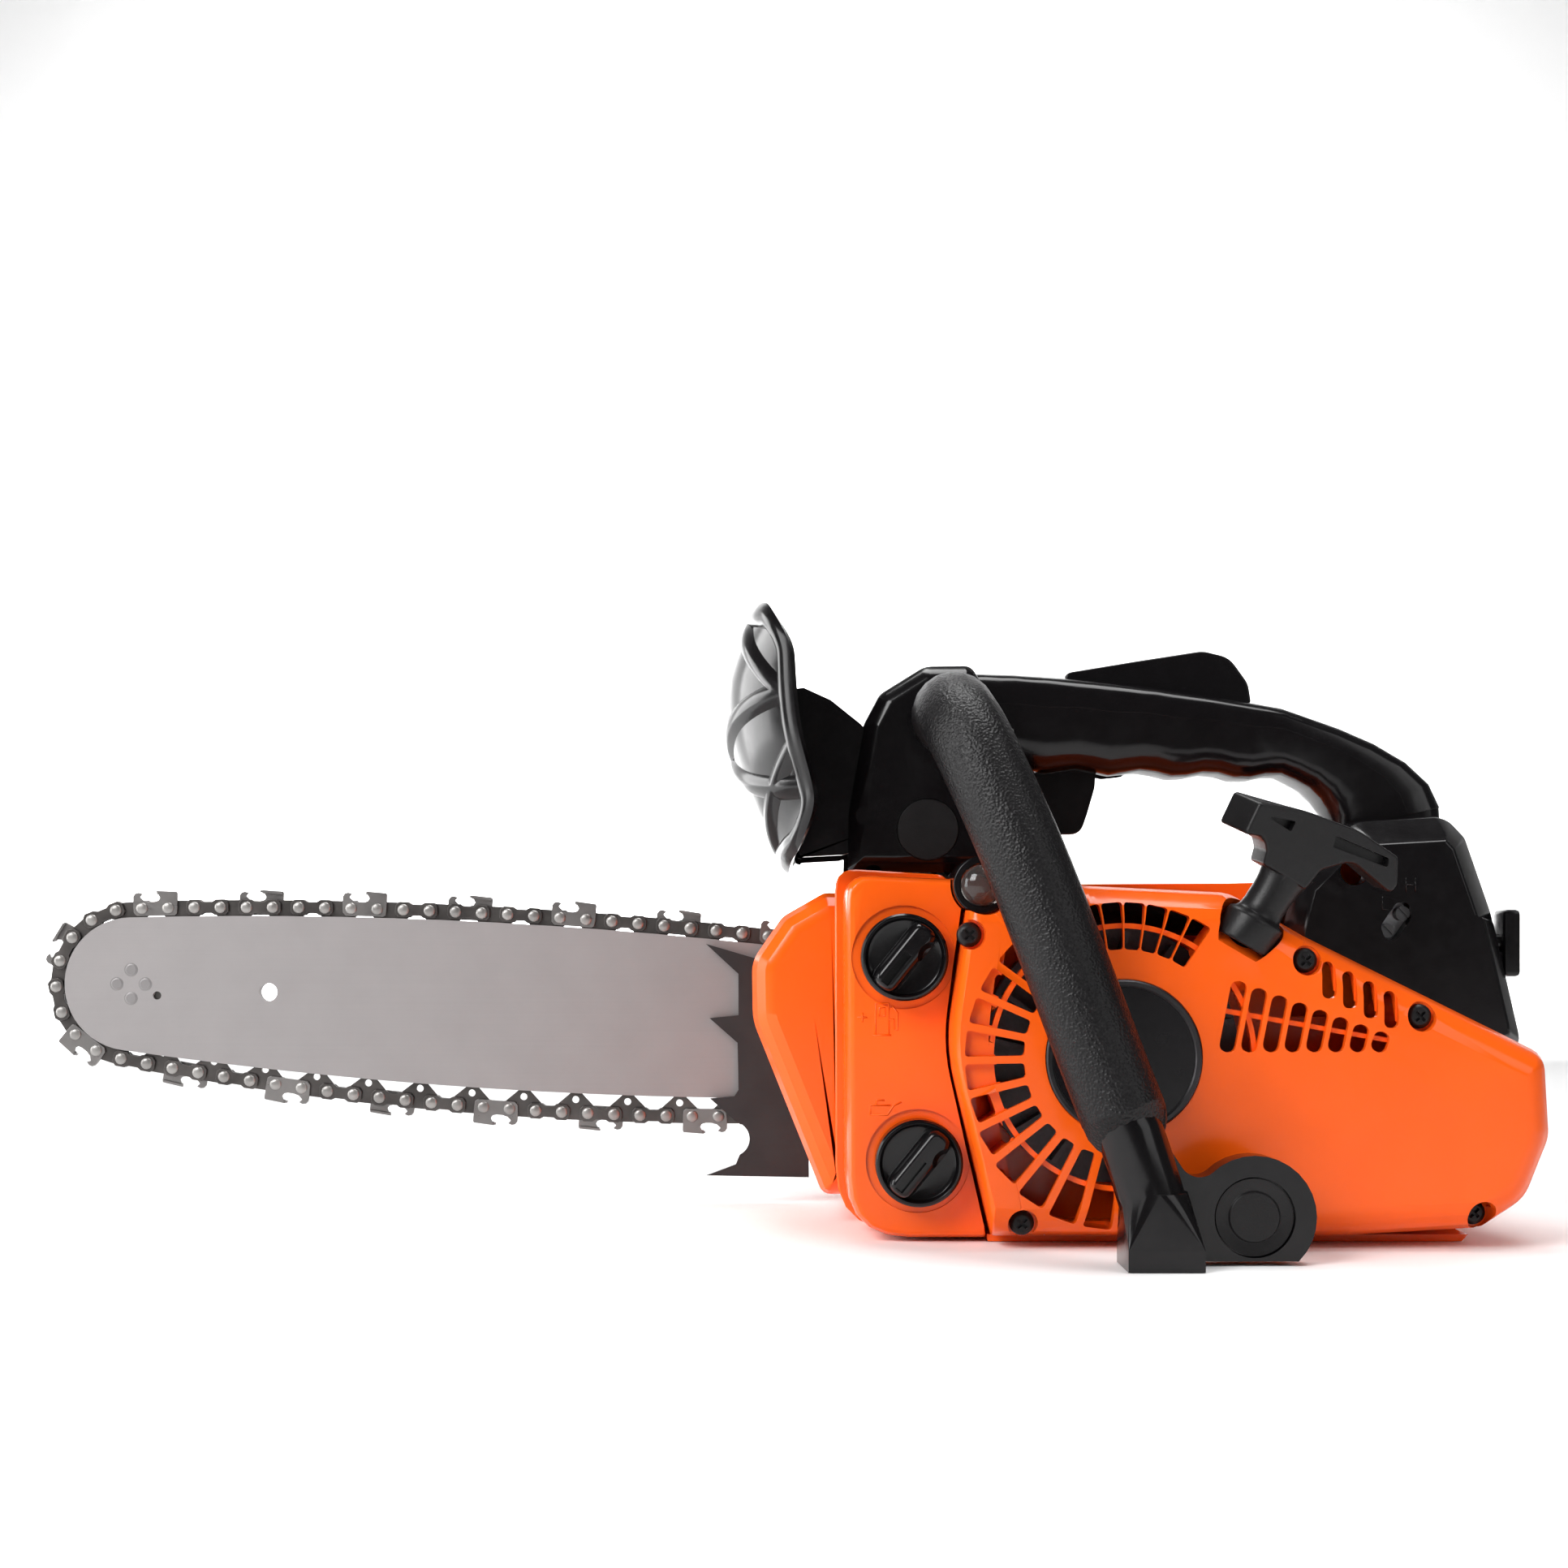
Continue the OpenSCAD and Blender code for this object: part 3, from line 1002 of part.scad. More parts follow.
bumper_y = case_half - 1;
bumper_t = 2.4;
module spiked_bumper() color(dark_steel) difference() {
    slab(bumper_y, bumper_y + bumper_t) difference() {
        polygon([[-131.8, 93.9], [-120, 83], [-120, 68], [-130.5, 67], [-120.3, 58], [-120, 41],
            [-121.5, 38.6], [-130.2, 37.8], [-121, 29.5], [-118.5, 20], [-121, 14], [-131.6, 10], [-94.5, 9.3], [-94.5, 88],
            [-113, 88.4]]);
        translate([-122.4, 23.2]) circle(r = 6.4);
    }
    for (z = bumper_screw_z) rod(bumper_screw_x, z, 2.1, bumper_y - 1, bumper_y + bumper_t + 1, 24);
}

module brake_band() color(steel) {
    difference() {
        tube(0, crank_z, 28.6, 27.6, drum_y + 4, clutch_end);
        block(-40, -20, drum_y, drum_end + 1, crank_z - 40, crank_z - 5);
    }
    block(-36.6, -28.5, drum_y + 4, clutch_end - 1, crank_z - 3, crank_z);
}

module oil_pump() color(alloy) difference() {
    rod(0, crank_z, 20, crankcase_half, case_half - 3);
    rod(0, crank_z, crank_r + 1, case_half - 20, case_half + 8);
}

hub_y = drum_y + 3.4;
module clutch_hub() color(steel) difference() {
    union() {
        rod(0, crank_z, 10, hub_y, clutch_end);
        difference() {
            tube(0, crank_z, 24.6, 17, hub_y, clutch_end);
            for (a = [0:120:240]) translate([0, hub_y, crank_z]) rotate([0, a, 0])
                translate([0, -1, -2]) cube([40, clutch_end - hub_y + 2, 4]);
        }
        for (a = [60:120:300]) translate([0, hub_y, crank_z]) rotate([0, a, 0])
            translate([5, 0, -4]) cube([16, clutch_end - hub_y, 8]);
    }
    rod(0, crank_z, crank_r, 40, 80);
}

module clutch_drum() color(steel) turning(0, crank_z)
    polygon([[8, drum_y], [27, drum_y], [27, drum_end], [25.4, drum_end], [25.4, drum_y + 1.6],
        [8, drum_y + 1.6]]);

module clutch_bearing() color(bright_steel) tube(0, crank_z, 8, crank_r + fit, drum_y - 7.2, drum_y + 2.6);

module drive_sprocket() color(steel) difference() {
    bar_layer(-3.4, drum_y - bar_y)
        star_2d(sprocket_r * cos(step_angle(sprocket_r) / 2) - strap_in - gap, sprocket_r, sprocket_teeth,
            bottom_last + 2);
    rod(0, crank_z, 8, drum_y - 11, drum_y + 9);
}

// ---- controls -------------------------------------------------------------

module starter_grip() color(black) difference() {
    union() {
        along_pull(-1.6) cylinder(r1 = 8.2, r2 = 8.7, h = 10.6, $fn = 32);
        along_pull(9) cylinder(r1 = 7, r2 = 6.2, h = 24, $fn = 32);
        grip_frame() slab(-6.5, 6.5) offset(r = 1.4, $fn = 16) offset(delta = -1.4)
            polygon([[-grip_length / 2, 6], [-12, 9.5], [12, 9.5], [grip_length / 2, 6],
                [grip_length / 2, -7], [16, -4.6], [8, -8], [5, -14], [-5, -14], [-8, -8], [-16, -4.6],
                [-grip_length / 2, -7]]);
    }
    along_pull(-3) cylinder(r = rope_d / 2 + 0.3, h = 22, $fn = 24);
    grip_frame() slab(-8, -5) for (s = [-1, 1]) offset(r = 0.6, $fn = 12) offset(delta = -0.6)
        polygon([[s * 6, 5.4], [s * 23, 4.4], [s * 23, 0.2], [s * 6, 0.2]]);
}
module grip_frame() translate(rope_exit + pull * 35) rotate([0, 21, 0]) children();

module starter_rope() color("#d9d5cc") along_pull(-9) cylinder(r = rope_d / 2, h = 20, $fn = 24);

module rope_coil() color("#d9d5cc")
    tube(0, crank_z, pulley_r + 3.4, pulley_r - 2 + fit, groove_y + 0.2, groove_end - 0.2);

module filler_cap(p) difference() {
    union() {
        turning(p[0], p[1]) polygon([[0, cap_y], [cap_r - 1.6, cap_y], [cap_r, cap_y + 2], [cap_r, cap_y + 8],
            [neck_r, cap_y + 8], [neck_r, cap_y + 16], [0, cap_y + 16]]);
        translate([p[0], 0, p[1]]) rotate([0, -45, 0]) translate([0, cap_y, 0]) slab(-3, 1)
            offset(r = 1.5, $fn = 16) square([2 * cap_r - 6, 3.6], center = true);
    }
    translate([p[0], cap_y, p[1]]) rotate([0, -45, 0]) for (s = [-1, 1]) translate([0, 0, s * 6.6])
        rotate([-90, 0, 0]) linear_extrude(3, center = true)
            offset(r = 1, $fn = 12) square([14, 4], center = true);
}
cap_y = -tank_reach - 1 - 8;
module fuel_cap() color(black) filler_cap(fuel_cap_place);
module oil_cap() color(black) filler_cap(oil_cap_place);

module primer_base() color(black) turning(primer[0], primer[1])
    polygon([[bulb_r + 0.2, -68], [8.9, -68], [9.1, -67], [9.1, -case_half], [5.6, -case_half],
        [5.6, -60], [bulb_r + 0.2, -60]]);

module primer_bulb() color("#c9b9a8") turning(primer[0], primer[1])
    polygon(concat([[0, -64.4], [bulb_r, -64.4], [bulb_r, -67]],
        [for (a = [10:16:90]) [bulb_r * cos(a), -67 - 4.5 * sin(a)]]));

engine_housing();
tank_shell();
crankcase();
crank_bearings();
engine_cylinder();
cylinder_cover();
spark_plug();
muffler();
intake_manifold();
carburettor();
adjuster_screws();
air_filter();
air_filter_cover();
handle_body();
handle_top_cover();
front_handle();
front_handle_sleeve();
av_mounts();
mount_caps();
starter_cover();
starter_badge();
cover_screws();
recoil_spring();
rope_bushing();
ignition_coil();
clutch_cover();
bar_stud();
bar_nut();
chain_tensioner();
guide_bar();
nose_rivets();
spiked_bumper();
brake_band();
oil_pump();
primer_base();
control_pins();
crankshaft();
flywheel();
flywheel_nut();
clutch_hub();
clutch_drum();
clutch_bearing();
drive_sprocket();
chain_sprocket_wrap();
chain_top_run();
nose_sprocket();
chain_nose_wrap();
chain_bottom_run();
throttle_trigger();
throttle_lockout();
hand_guard();
stop_switch();
starter_grip();
starter_rope();
starter_pulley();
rope_coil();
fuel_cap();
oil_cap();
primer_bulb();
filter_knob();
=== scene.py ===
"""Looks of a top-handle chainsaw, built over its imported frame."""

from __future__ import annotations

import json
import logging
import math
from dataclasses import dataclass
from enum import Enum
from typing import Callable, Iterable, Sequence

import bpy
from mathutils import Matrix, Vector


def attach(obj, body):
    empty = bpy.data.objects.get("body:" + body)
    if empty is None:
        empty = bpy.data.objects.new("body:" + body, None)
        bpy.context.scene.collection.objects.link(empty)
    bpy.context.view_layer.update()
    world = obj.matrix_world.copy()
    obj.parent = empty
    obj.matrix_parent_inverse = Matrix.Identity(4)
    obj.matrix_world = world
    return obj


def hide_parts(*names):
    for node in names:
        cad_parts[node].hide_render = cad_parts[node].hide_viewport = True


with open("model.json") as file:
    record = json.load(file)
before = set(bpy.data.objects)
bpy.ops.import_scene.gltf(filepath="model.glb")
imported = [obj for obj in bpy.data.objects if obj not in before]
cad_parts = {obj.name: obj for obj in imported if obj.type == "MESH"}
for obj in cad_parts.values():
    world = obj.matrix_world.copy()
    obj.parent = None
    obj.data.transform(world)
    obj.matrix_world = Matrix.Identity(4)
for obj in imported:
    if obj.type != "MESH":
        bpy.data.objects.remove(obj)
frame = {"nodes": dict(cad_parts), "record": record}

log = logging.getLogger("chainsaw")
MM = 0.001
Point2 = tuple[float, float]
Point3 = tuple[float, float, float]
Colour = tuple[float, float, float]
Piece = bpy.types.Object
Socket = bpy.types.NodeSocket
CRANK_Z = 59.0
BAR_Y = 47.0
BAR_TILT = math.radians(3.4)


# ---- materials --------------------------------------------------------------


class Graph:
    """Builds one node material on object coordinates."""

    def __init__(self, name: str) -> None:
        """Starts an empty material.

        Args:
            name: Name of the material.
        """
        self.material = bpy.data.materials.new(name)
        self.material.use_nodes = True
        self.tree = self.material.node_tree
        self.shader = self.tree.nodes["Principled BSDF"]
        self.place = self.add("ShaderNodeTexCoord").outputs["Object"]

    def add(self, kind: str, **values: object) -> bpy.types.Node:
        """Adds a node and sets its properties.

        Args:
            kind: Node class.
            values: Properties of the node.

        Returns:
            The new node.
        """
        node = self.tree.nodes.new(kind)
        for key, value in values.items():
            setattr(node, key, value)
        return node

    def link(self, source: Socket, target: Socket) -> None:
        """Links two sockets.

        Args:
            source: Output socket.
            target: Input socket.
        """
        self.tree.links.new(source, target)

    def set(self, **values: object) -> None:
        """Sets plain values on the shader's own sockets.

        Args:
            values: Socket names, with _ for a space, and their values.
        """
        for key, value in values.items():
            self.shader.inputs[key.replace("_", " ")].default_value = value

    def stretched(self, scale: Point3, turn: Point3 = (0.0, 0.0, 0.0)) -> Socket:
        """Gives the object coordinates, scaled and turned.

        Args:
            scale: Scale along each axis.
            turn: Rotation in radians.

        Returns:
            The socket of the mapped coordinates.
        """
        node = self.add("ShaderNodeMapping")
        node.inputs["Scale"].default_value = scale
        node.inputs["Rotation"].default_value = turn
        self.link(self.place, node.inputs["Vector"])
        return node.outputs["Vector"]

    def noise(self, scale: float, detail: float = 3.0, where: Socket | None = None, rough: float = 0.5) -> Socket:
        """Adds a noise pattern.

        Args:
            scale: Waves per metre.
            detail: Octaves.
            where: Coordinates, the object's own if left out.
            rough: Strength of the finer octaves.

        Returns:
            The socket of its value.
        """
        node = self.add("ShaderNodeTexNoise")
        node.inputs["Scale"].default_value = scale
        node.inputs["Detail"].default_value = detail
        node.inputs["Roughness"].default_value = rough
        self.link(where or self.place, node.inputs["Vector"])
        return node.outputs["Fac"]

    def cells(self, scale: float, feature: str = "F1") -> Socket:
        """Adds a pattern of cells.

        Args:
            scale: Cells per metre.
            feature: Which distance it gives.

        Returns:
            The socket of its distance.
        """
        node = self.add("ShaderNodeTexVoronoi", feature=feature)
        node.inputs["Scale"].default_value = scale
        self.link(self.place, node.inputs["Vector"])
        return node.outputs["Distance"]

    def spread(self, value: Socket, low: float, high: float, start: float = 0.3, end: float = 0.7) -> Socket:
        """Maps a value between start and end to a value between low and high.

        Args:
            value: Socket to map.
            low: Result at start.
            high: Result at end.
            start: Lowest value taken.
            end: Highest value taken.

        Returns:
            The mapped socket.
        """
        node = self.add("ShaderNodeMapRange")
        for key, number in (("From Min", start), ("From Max", end), ("To Min", low), ("To Max", high)):
            node.inputs[key].default_value = number
        self.link(value, node.inputs["Value"])
        return node.outputs["Result"]

    def tint(self, fac: Socket, stops: Sequence[tuple[float, Colour]]) -> Socket:
        """Colours a value through a ramp.

        Args:
            fac: Value to colour.
            stops: Places and colours of the ramp.

        Returns:
            The socket of the colour.
        """
        node = self.add("ShaderNodeValToRGB")
        ramp = node.color_ramp
        while len(ramp.elements) < len(stops):
            ramp.elements.new(0.5)
        for element, (place, colour) in zip(ramp.elements, stops):
            element.position = place
            element.color = (*colour, 1.0)
        self.link(fac, node.inputs["Fac"])
        return node.outputs["Color"]

    def mottled(self, fac: Socket, colour: Colour, low: float, high: float, start: float = 0.3,
                end: float = 0.7) -> Socket:
        """Shades one colour from a low to a high share of itself.

        Args:
            fac: Value that decides.
            colour: The colour.
            low: Share at start.
            high: Share at end.
            start: Lowest value taken.
            end: Highest value taken.

        Returns:
            The socket of the colour.
        """
        return self.tint(fac, [(start, shade(colour, low)), (end, shade(colour, high))])

    def bump(self, height: Socket, strength: float, depth: float, over: Socket | None = None) -> Socket:
        """Turns a height into a shading normal.

        Args:
            height: Height between 0 and 1.
            strength: Strength of the effect.
            depth: Height of 1, in metres.
            over: A normal that it adds to.

        Returns:
            The socket of the normal.
        """
        node = self.add("ShaderNodeBump")
        node.inputs["Strength"].default_value = strength
        node.inputs["Distance"].default_value = depth
        self.link(height, node.inputs["Height"])
        if over is not None:
            self.link(over, node.inputs["Normal"])
        return node.outputs["Normal"]

    def finish(self, colour: Socket | None = None, rough: Socket | None = None,
               normal: Socket | None = None) -> bpy.types.Material:
        """Links the main sockets of the shader.

        Args:
            colour: Base colour.
            rough: Roughness.
            normal: Shading normal.

        Returns:
            The finished material.
        """
        for socket, key in ((colour, "Base Color"), (rough, "Roughness"), (normal, "Normal")):
            if socket is not None:
                self.link(socket, self.shader.inputs[key])
        return self.material


def shade(colour: Colour, factor: float) -> Colour:
    """Scales a colour.

    Args:
        colour: Linear colour.
        factor: Scale.

    Returns:
        The scaled colour.
    """
    return tuple(min(1.0, c * factor) for c in colour)


@dataclass(frozen=True)
class Look:
    """What every finish has: a name and a base colour."""

    name: str
    colour: Colour


@dataclass(frozen=True)
class Moulding(Look):
    """Injection-moulded plastic with a polished or a satin skin."""

    gloss: float = 0.2
    coat: float = 0.2
    grain: float = 0.03

    def make(self) -> bpy.types.Material:
        """Builds the material."""
        g = Graph(self.name)
        g.set(Metallic=0.0, IOR=1.46, Specular_IOR_Level=0.3, Coat_Weight=self.coat, Coat_Roughness=0.08)
        flow = g.noise(26.0, 2.0)
        colour = g.mottled(flow, self.colour, 0.93, 1.05)
        rough = g.spread(g.noise(140.0, 5.0, rough=0.65), self.gloss - 0.03, self.gloss + 0.07)
        skin = g.bump(g.noise(1500.0, 2.0), self.grain, 0.0002)
        waves = g.bump(g.noise(55.0, 1.0), 0.05, 0.001, skin)
        return g.finish(colour, rough, waves)


@dataclass(frozen=True)
class Rubber(Look):
    """Soft rubber with a pebbled grain like leather."""

    cell: float = 1.1
    depth: float = 0.55

    def make(self) -> bpy.types.Material:
        """Builds the material."""
        g = Graph(self.name)
        g.set(Metallic=0.0, IOR=1.45, Specular_IOR_Level=0.32)
        pebbles = g.cells(1.0 / (self.cell * MM), "SMOOTH_F1")
        fine = g.noise(3000.0, 2.0)
        colour = g.mottled(g.noise(35.0, 4.0), self.colour, 0.8, 1.25, end=0.75)
        rough = g.spread(pebbles, 0.3, 0.46, 0.1, 0.7)
        normal = g.bump(g.spread(pebbles, 1.0, 0.0, 0.1, 0.75), self.depth, 0.00035)
        return g.finish(colour, rough, g.bump(fine, 0.12, 0.0001, normal))


@dataclass(frozen=True)
class Metal(Look):
    """Metal with a grain along one axis, from brushed plate to blackened links."""

    gloss: float = 0.3
    grain: Point3 = (14.0, 300.0, 1600.0)
    depth: float = 0.12
    mottle: float = 0.08
    metallic: float = 1.0

    def make(self) -> bpy.types.Material:
        """Builds the material."""
        g = Graph(self.name)
        g.set(Metallic=self.metallic)
        lines = g.noise(1.0, 4.0, g.stretched(self.grain, (0.0, -BAR_TILT, 0.0)), 0.6)
        cloud = g.noise(70.0, 4.0)
        colour = g.mottled(cloud, self.colour, 1.0 - self.mottle, 1.0 + self.mottle)
        rough = g.spread(lines, self.gloss - 0.05, self.gloss + 0.1, 0.25, 0.75)
        return g.finish(colour, rough, g.bump(lines, self.depth, 0.00012))


@dataclass(frozen=True)
class Casting(Look):
    """Cast light alloy with a sandy skin."""

    def make(self) -> bpy.types.Material:
        """Builds the material."""
        g = Graph(self.name)
        g.set(Metallic=0.9)
        sand = g.noise(1400.0, 4.0, rough=0.7)
        colour = g.mottled(g.noise(60.0, 4.0), self.colour, 0.8, 1.1, end=0.75)
        return g.finish(colour, g.spread(sand, 0.38, 0.6), g.bump(sand, 0.5, 0.0002))


@dataclass(frozen=True)
class Clear(Look):
    """Clear soft plastic, a little cloudy."""

    def make(self) -> bpy.types.Material:
        """Builds the material."""
        g = Graph(self.name)
        g.set(IOR=1.42, Transmission_Weight=0.97, Coat_Weight=0.1)
        cloud = g.noise(160.0, 3.0)
        colour = g.mottled(cloud, self.colour, 0.9, 1.0)
        return g.finish(colour, g.spread(cloud, 0.02, 0.06), g.bump(g.noise(300.0, 2.0), 0.05, 0.0003))


@dataclass(frozen=True)
class Cord(Look):
    """Braided cord with fine diagonal strands."""

    def make(self) -> bpy.types.Material:
        """Builds the material."""
        g = Graph(self.name)
        g.set(Sheen_Weight=0.3)
        wave = g.add("ShaderNodeTexWave", wave_type="BANDS", bands_direction="DIAGONAL")
        wave.inputs["Scale"].default_value = 420.0
        wave.inputs["Distortion"].default_value = 1.5
        g.link(g.place, wave.inputs["Vector"])
        strands = wave.outputs["Fac"]
        colour = g.mottled(strands, self.colour, 0.6, 1.0, 0.2, 0.8)
        return g.finish(colour, g.spread(strands, 0.65, 0.85), g.bump(strands, 0.6, 0.0003))


class Finish(Enum):
    """Every finish of the saw."""

    ORANGE = Moulding("orange moulding", (0.93, 0.112, 0.005), 0.2, 0.12)
    BLACK = Moulding("black moulding", (0.004, 0.0035, 0.004), 0.17, 0.1)
    SATIN_BLACK = Moulding("satin black moulding", (0.008, 0.0075, 0.008), 0.34, 0.0, 0.2)
    BADGE = Moulding("badge lacquer", (0.006, 0.005, 0.006), 0.22, 0.0, 0.0)
    RED = Moulding("red moulding", (0.55, 0.012, 0.01), 0.25, 0.2)
    MEMBRANE = Moulding("primer membrane", (0.12, 0.028, 0.02), 0.3, 0.2)
    SLEEVE = Rubber("grained rubber", (0.005, 0.0045, 0.005), 0.75, 0.6)
    RUBBER = Rubber("plain rubber", (0.009, 0.0085, 0.009), 0.5, 0.12)
    FELT = Rubber("filter felt", (0.04, 0.045, 0.05), 0.6, 0.6)
    BAR = Metal("brushed bar steel", (0.265, 0.25, 0.25), 0.5, (10.0, 300.0, 1500.0), 0.05, 0.03, 0.25)
    CHAIN = Metal("blackened chain steel", (0.085, 0.078, 0.075), 0.34, (300.0, 300.0, 500.0), 0.2, 0.3, 0.9)
    RIVET = Metal("peened rivet steel", (0.27, 0.26, 0.25), 0.34, (500.0, 500.0, 500.0), 0.1, 0.2, 0.7)
    DISC = Metal("ground nose rivet steel", (0.21, 0.2, 0.2), 0.42, (500.0, 500.0, 500.0), 0.1, 0.1, 0.4)
    CUTTER = Metal("plated cutter steel", (0.2, 0.19, 0.185), 0.3, (200.0, 400.0, 900.0), 0.15, 0.15, 0.8)
    BUMPER = Metal("black lacquered plate", (0.028, 0.026, 0.027), 0.36, (120.0, 300.0, 900.0), 0.1, 0.15, 0.4)
    STEEL = Metal("machined steel", (0.36, 0.36, 0.37), 0.32, (400.0, 60.0, 400.0), 0.15)
    DARK = Metal("dark machined steel", (0.08, 0.08, 0.082), 0.4, (300.0, 80.0, 300.0), 0.15)
    RING = Metal("satin badge ring", (0.05, 0.048, 0.05), 0.38, (300.0, 300.0, 300.0), 0.05)
    ALLOY = Casting("cast alloy", (0.35, 0.35, 0.36))
    DARK_ALLOY = Casting("dark cast alloy", (0.11, 0.11, 0.115))
    CERAMIC = Moulding("glazed ceramic", (0.72, 0.70, 0.66), 0.15, 0.5, 0.0)
    BULB = Clear("clear bulb", (0.86, 0.80, 0.76))
    ROPE = Cord("braided rope", (0.62, 0.58, 0.50))

    def material(self) -> bpy.types.Material:
        """Gives the material, built when it is first asked for."""
        return bpy.data.materials.get(self.value.name) or self.value.make()


# ---- bench: making, dressing and placing pieces -----------------------------


def put_down() -> None:
    """Leaves edit mode and deselects everything."""
    if bpy.context.mode != "OBJECT":
        bpy.ops.object.mode_set(mode="OBJECT")
    bpy.ops.object.select_all(action="DESELECT")


def pick_up(obj: Piece) -> None:
    """Makes one object the only selected and the active one.

    Args:
        obj: The object.
    """
    put_down()
    obj.select_set(True)
    bpy.context.view_layer.objects.active = obj


def edit(obj: Piece, *steps: Callable[[], object]) -> Piece:
    """Runs steps in edit mode on all of an object's mesh.

    Args:
        obj: The object.
        steps: Calls to make, in order.

    Returns:
        The same object.
    """
    pick_up(obj)
    bpy.ops.object.mode_set(mode="EDIT")
    bpy.ops.mesh.select_all(action="SELECT")
    for step in steps:
        step()
    bpy.ops.object.mode_set(mode="OBJECT")
    return obj


def apply(obj: Piece, kind: str, **values: object) -> Piece:
    """Adds a modifier and applies it.

    Args:
        obj: The object.
        kind: Type of the modifier.
        values: Its settings.

    Returns:
        The same object.
    """
    pick_up(obj)
    modifier = obj.modifiers.new(kind.title(), kind)
    for key, value in values.items():
        setattr(modifier, key, value)
    bpy.ops.object.modifier_apply(modifier=modifier.name)
    return obj


def rounded(obj: Piece, width: float, segments: int = 2, angle: float = 32.0) -> Piece:
    """Rounds the sharp edges of an object.

    Args:
        obj: The object.
        width: Width of the rounding in millimetres.
        segments: Faces across it.
        angle: Edges sharper than this are rounded, in degrees.

    Returns:
        The same object.
    """
    return apply(obj, "BEVEL", width=width * MM, segments=segments, limit_method="ANGLE",
                 angle_limit=math.radians(angle), use_clamp_overlap=True, miter_outer="MITER_ARC")


def smooth(obj: Piece, angle: float = 35.0) -> Piece:
    """Shades an object smooth across its blunt edges.

    Args:
        obj: The object.
        angle: Edges blunter than this are smooth, in degrees.

    Returns:
        The same object.
    """
    pick_up(obj)
    bpy.ops.object.shade_smooth_by_angle(angle=math.radians(angle))
    return apply(obj, "WEIGHTED_NORMAL", keep_sharp=True, weight=60)


def painted(obj: Piece, finish: Finish) -> Piece:
    """Gives an object one finish.

    Args:
        obj: The object.
        finish: The finish.

    Returns:
        The same object.
    """
    obj.data.materials.clear()
    obj.data.materials.append(finish.material())
    return obj


def joined(name: str, parts: Sequence[Piece]) -> Piece:
    """Joins objects into one.

    Args:
        name: Name of the result.
        parts: The objects, each with its finish.

    Returns:
        The joined object.
    """
    pick_up(parts[0])
    for part in parts[1:]:
        part.select_set(True)
    if len(parts) > 1:
        bpy.ops.object.join()
    parts[0].name = name
    return parts[0]


def copied(obj: Piece, place: Matrix) -> Piece:
    """Copies an object with a mesh of its own, moved to a place.

    Args:
        obj: The object.
        place: Where the copy goes.

    Returns:
        The copy.
    """
    twin = obj.copy()
    twin.data = obj.data.copy()
    twin.data.transform(place)
    bpy.context.scene.collection.objects.link(twin)
    return twin


def scrap(*objects: Piece) -> None:
    """Removes helper objects.

    Args:
        objects: The objects.
    """
    for obj in objects:
        bpy.data.objects.remove(obj, do_unlink=True)


def tidied(obj: Piece) -> Piece:
    """Merges doubles and turns all faces outwards.

    Args:
        obj: The object.

    Returns:
        The same object.
    """
    return edit(obj, lambda: bpy.ops.mesh.remove_doubles(threshold=2e-6), bpy.ops.mesh.dissolve_degenerate,
                lambda: bpy.ops.mesh.normals_make_consistent(inside=False))


def plate(name: str, outline: Sequence[Point2], y0: float, y1: float, edge: float = 0.0, segments: int = 2) -> Piece:
    """Extrudes an outline of the x-z plane along y and rounds its rims.

    Args:
        name: Name of the piece.
        outline: Corners in millimetres.
        y0: Where it starts.
        y1: Where it ends.
        edge: Rounding of its edges in millimetres.
        segments: Faces across the rounding.

    Returns:
        The piece.
    """
    put_down()
    bpy.ops.mesh.primitive_circle_add(vertices=len(outline), radius=MM, fill_type="NGON")
    obj = bpy.context.object
    obj.name = name
    for vertex, (x, z) in zip(obj.data.vertices, outline):
        vertex.co = (x * MM, y0 * MM, z * MM)
    edit(obj, lambda: bpy.ops.mesh.extrude_region_move(TRANSFORM_OT_translate={"value": (0, (y1 - y0) * MM, 0)}),
         lambda: bpy.ops.mesh.select_all(action="SELECT"),
         lambda: bpy.ops.mesh.normals_make_consistent(inside=False))
    return rounded(obj, edge, segments) if edge else obj


def lathe(name: str, profile: Sequence[Point2], centre: Point2, steps: int = 48) -> Piece:
    """Spins a profile about an axis along y.

    Args:
        name: Name of the piece.
        profile: Radius and y of each point, from the axis round to the axis, in millimetres.
        centre: Place of the axis in x and z.
        steps: Faces around.

    Returns:
        The piece.
    """
    put_down()
    bpy.ops.mesh.primitive_circle_add(vertices=len(profile), radius=MM, fill_type="NOTHING")
    obj = bpy.context.object
    obj.name = name
    for vertex, (r, y) in zip(obj.data.vertices, profile):
        vertex.co = ((centre[0] + r) * MM, y * MM, centre[1] * MM)
    edit(obj, lambda: bpy.ops.mesh.spin(steps=steps, angle=math.tau, axis=(0, 1, 0),
                                        center=(centre[0] * MM, 0, centre[1] * MM)))
    return tidied(obj)


def rod(name: str, start: Point3, end: Point3, r: float, sides: int = 24, tip: float | None = None) -> Piece:
    """Makes a round bar or a cone between two points.

    Args:
        name: Name of the piece.
        start: First end in millimetres.
        end: Other end.
        r: Radius.
        sides: Faces around.
        tip: Radius at the other end, the same if left out.

    Returns:
        The piece.
    """
    a, b = Vector(start) * MM, Vector(end) * MM
    put_down()
    bpy.ops.mesh.primitive_cone_add(vertices=sides, radius1=r * MM, radius2=(r if tip is None else tip) * MM,
                                    depth=(b - a).length)
    obj = bpy.context.object
    obj.name = name
    turn = (b - a).to_track_quat("Z", "Y").to_matrix().to_4x4()
    obj.data.transform(Matrix.Translation((a + b) / 2) @ turn)
    return obj


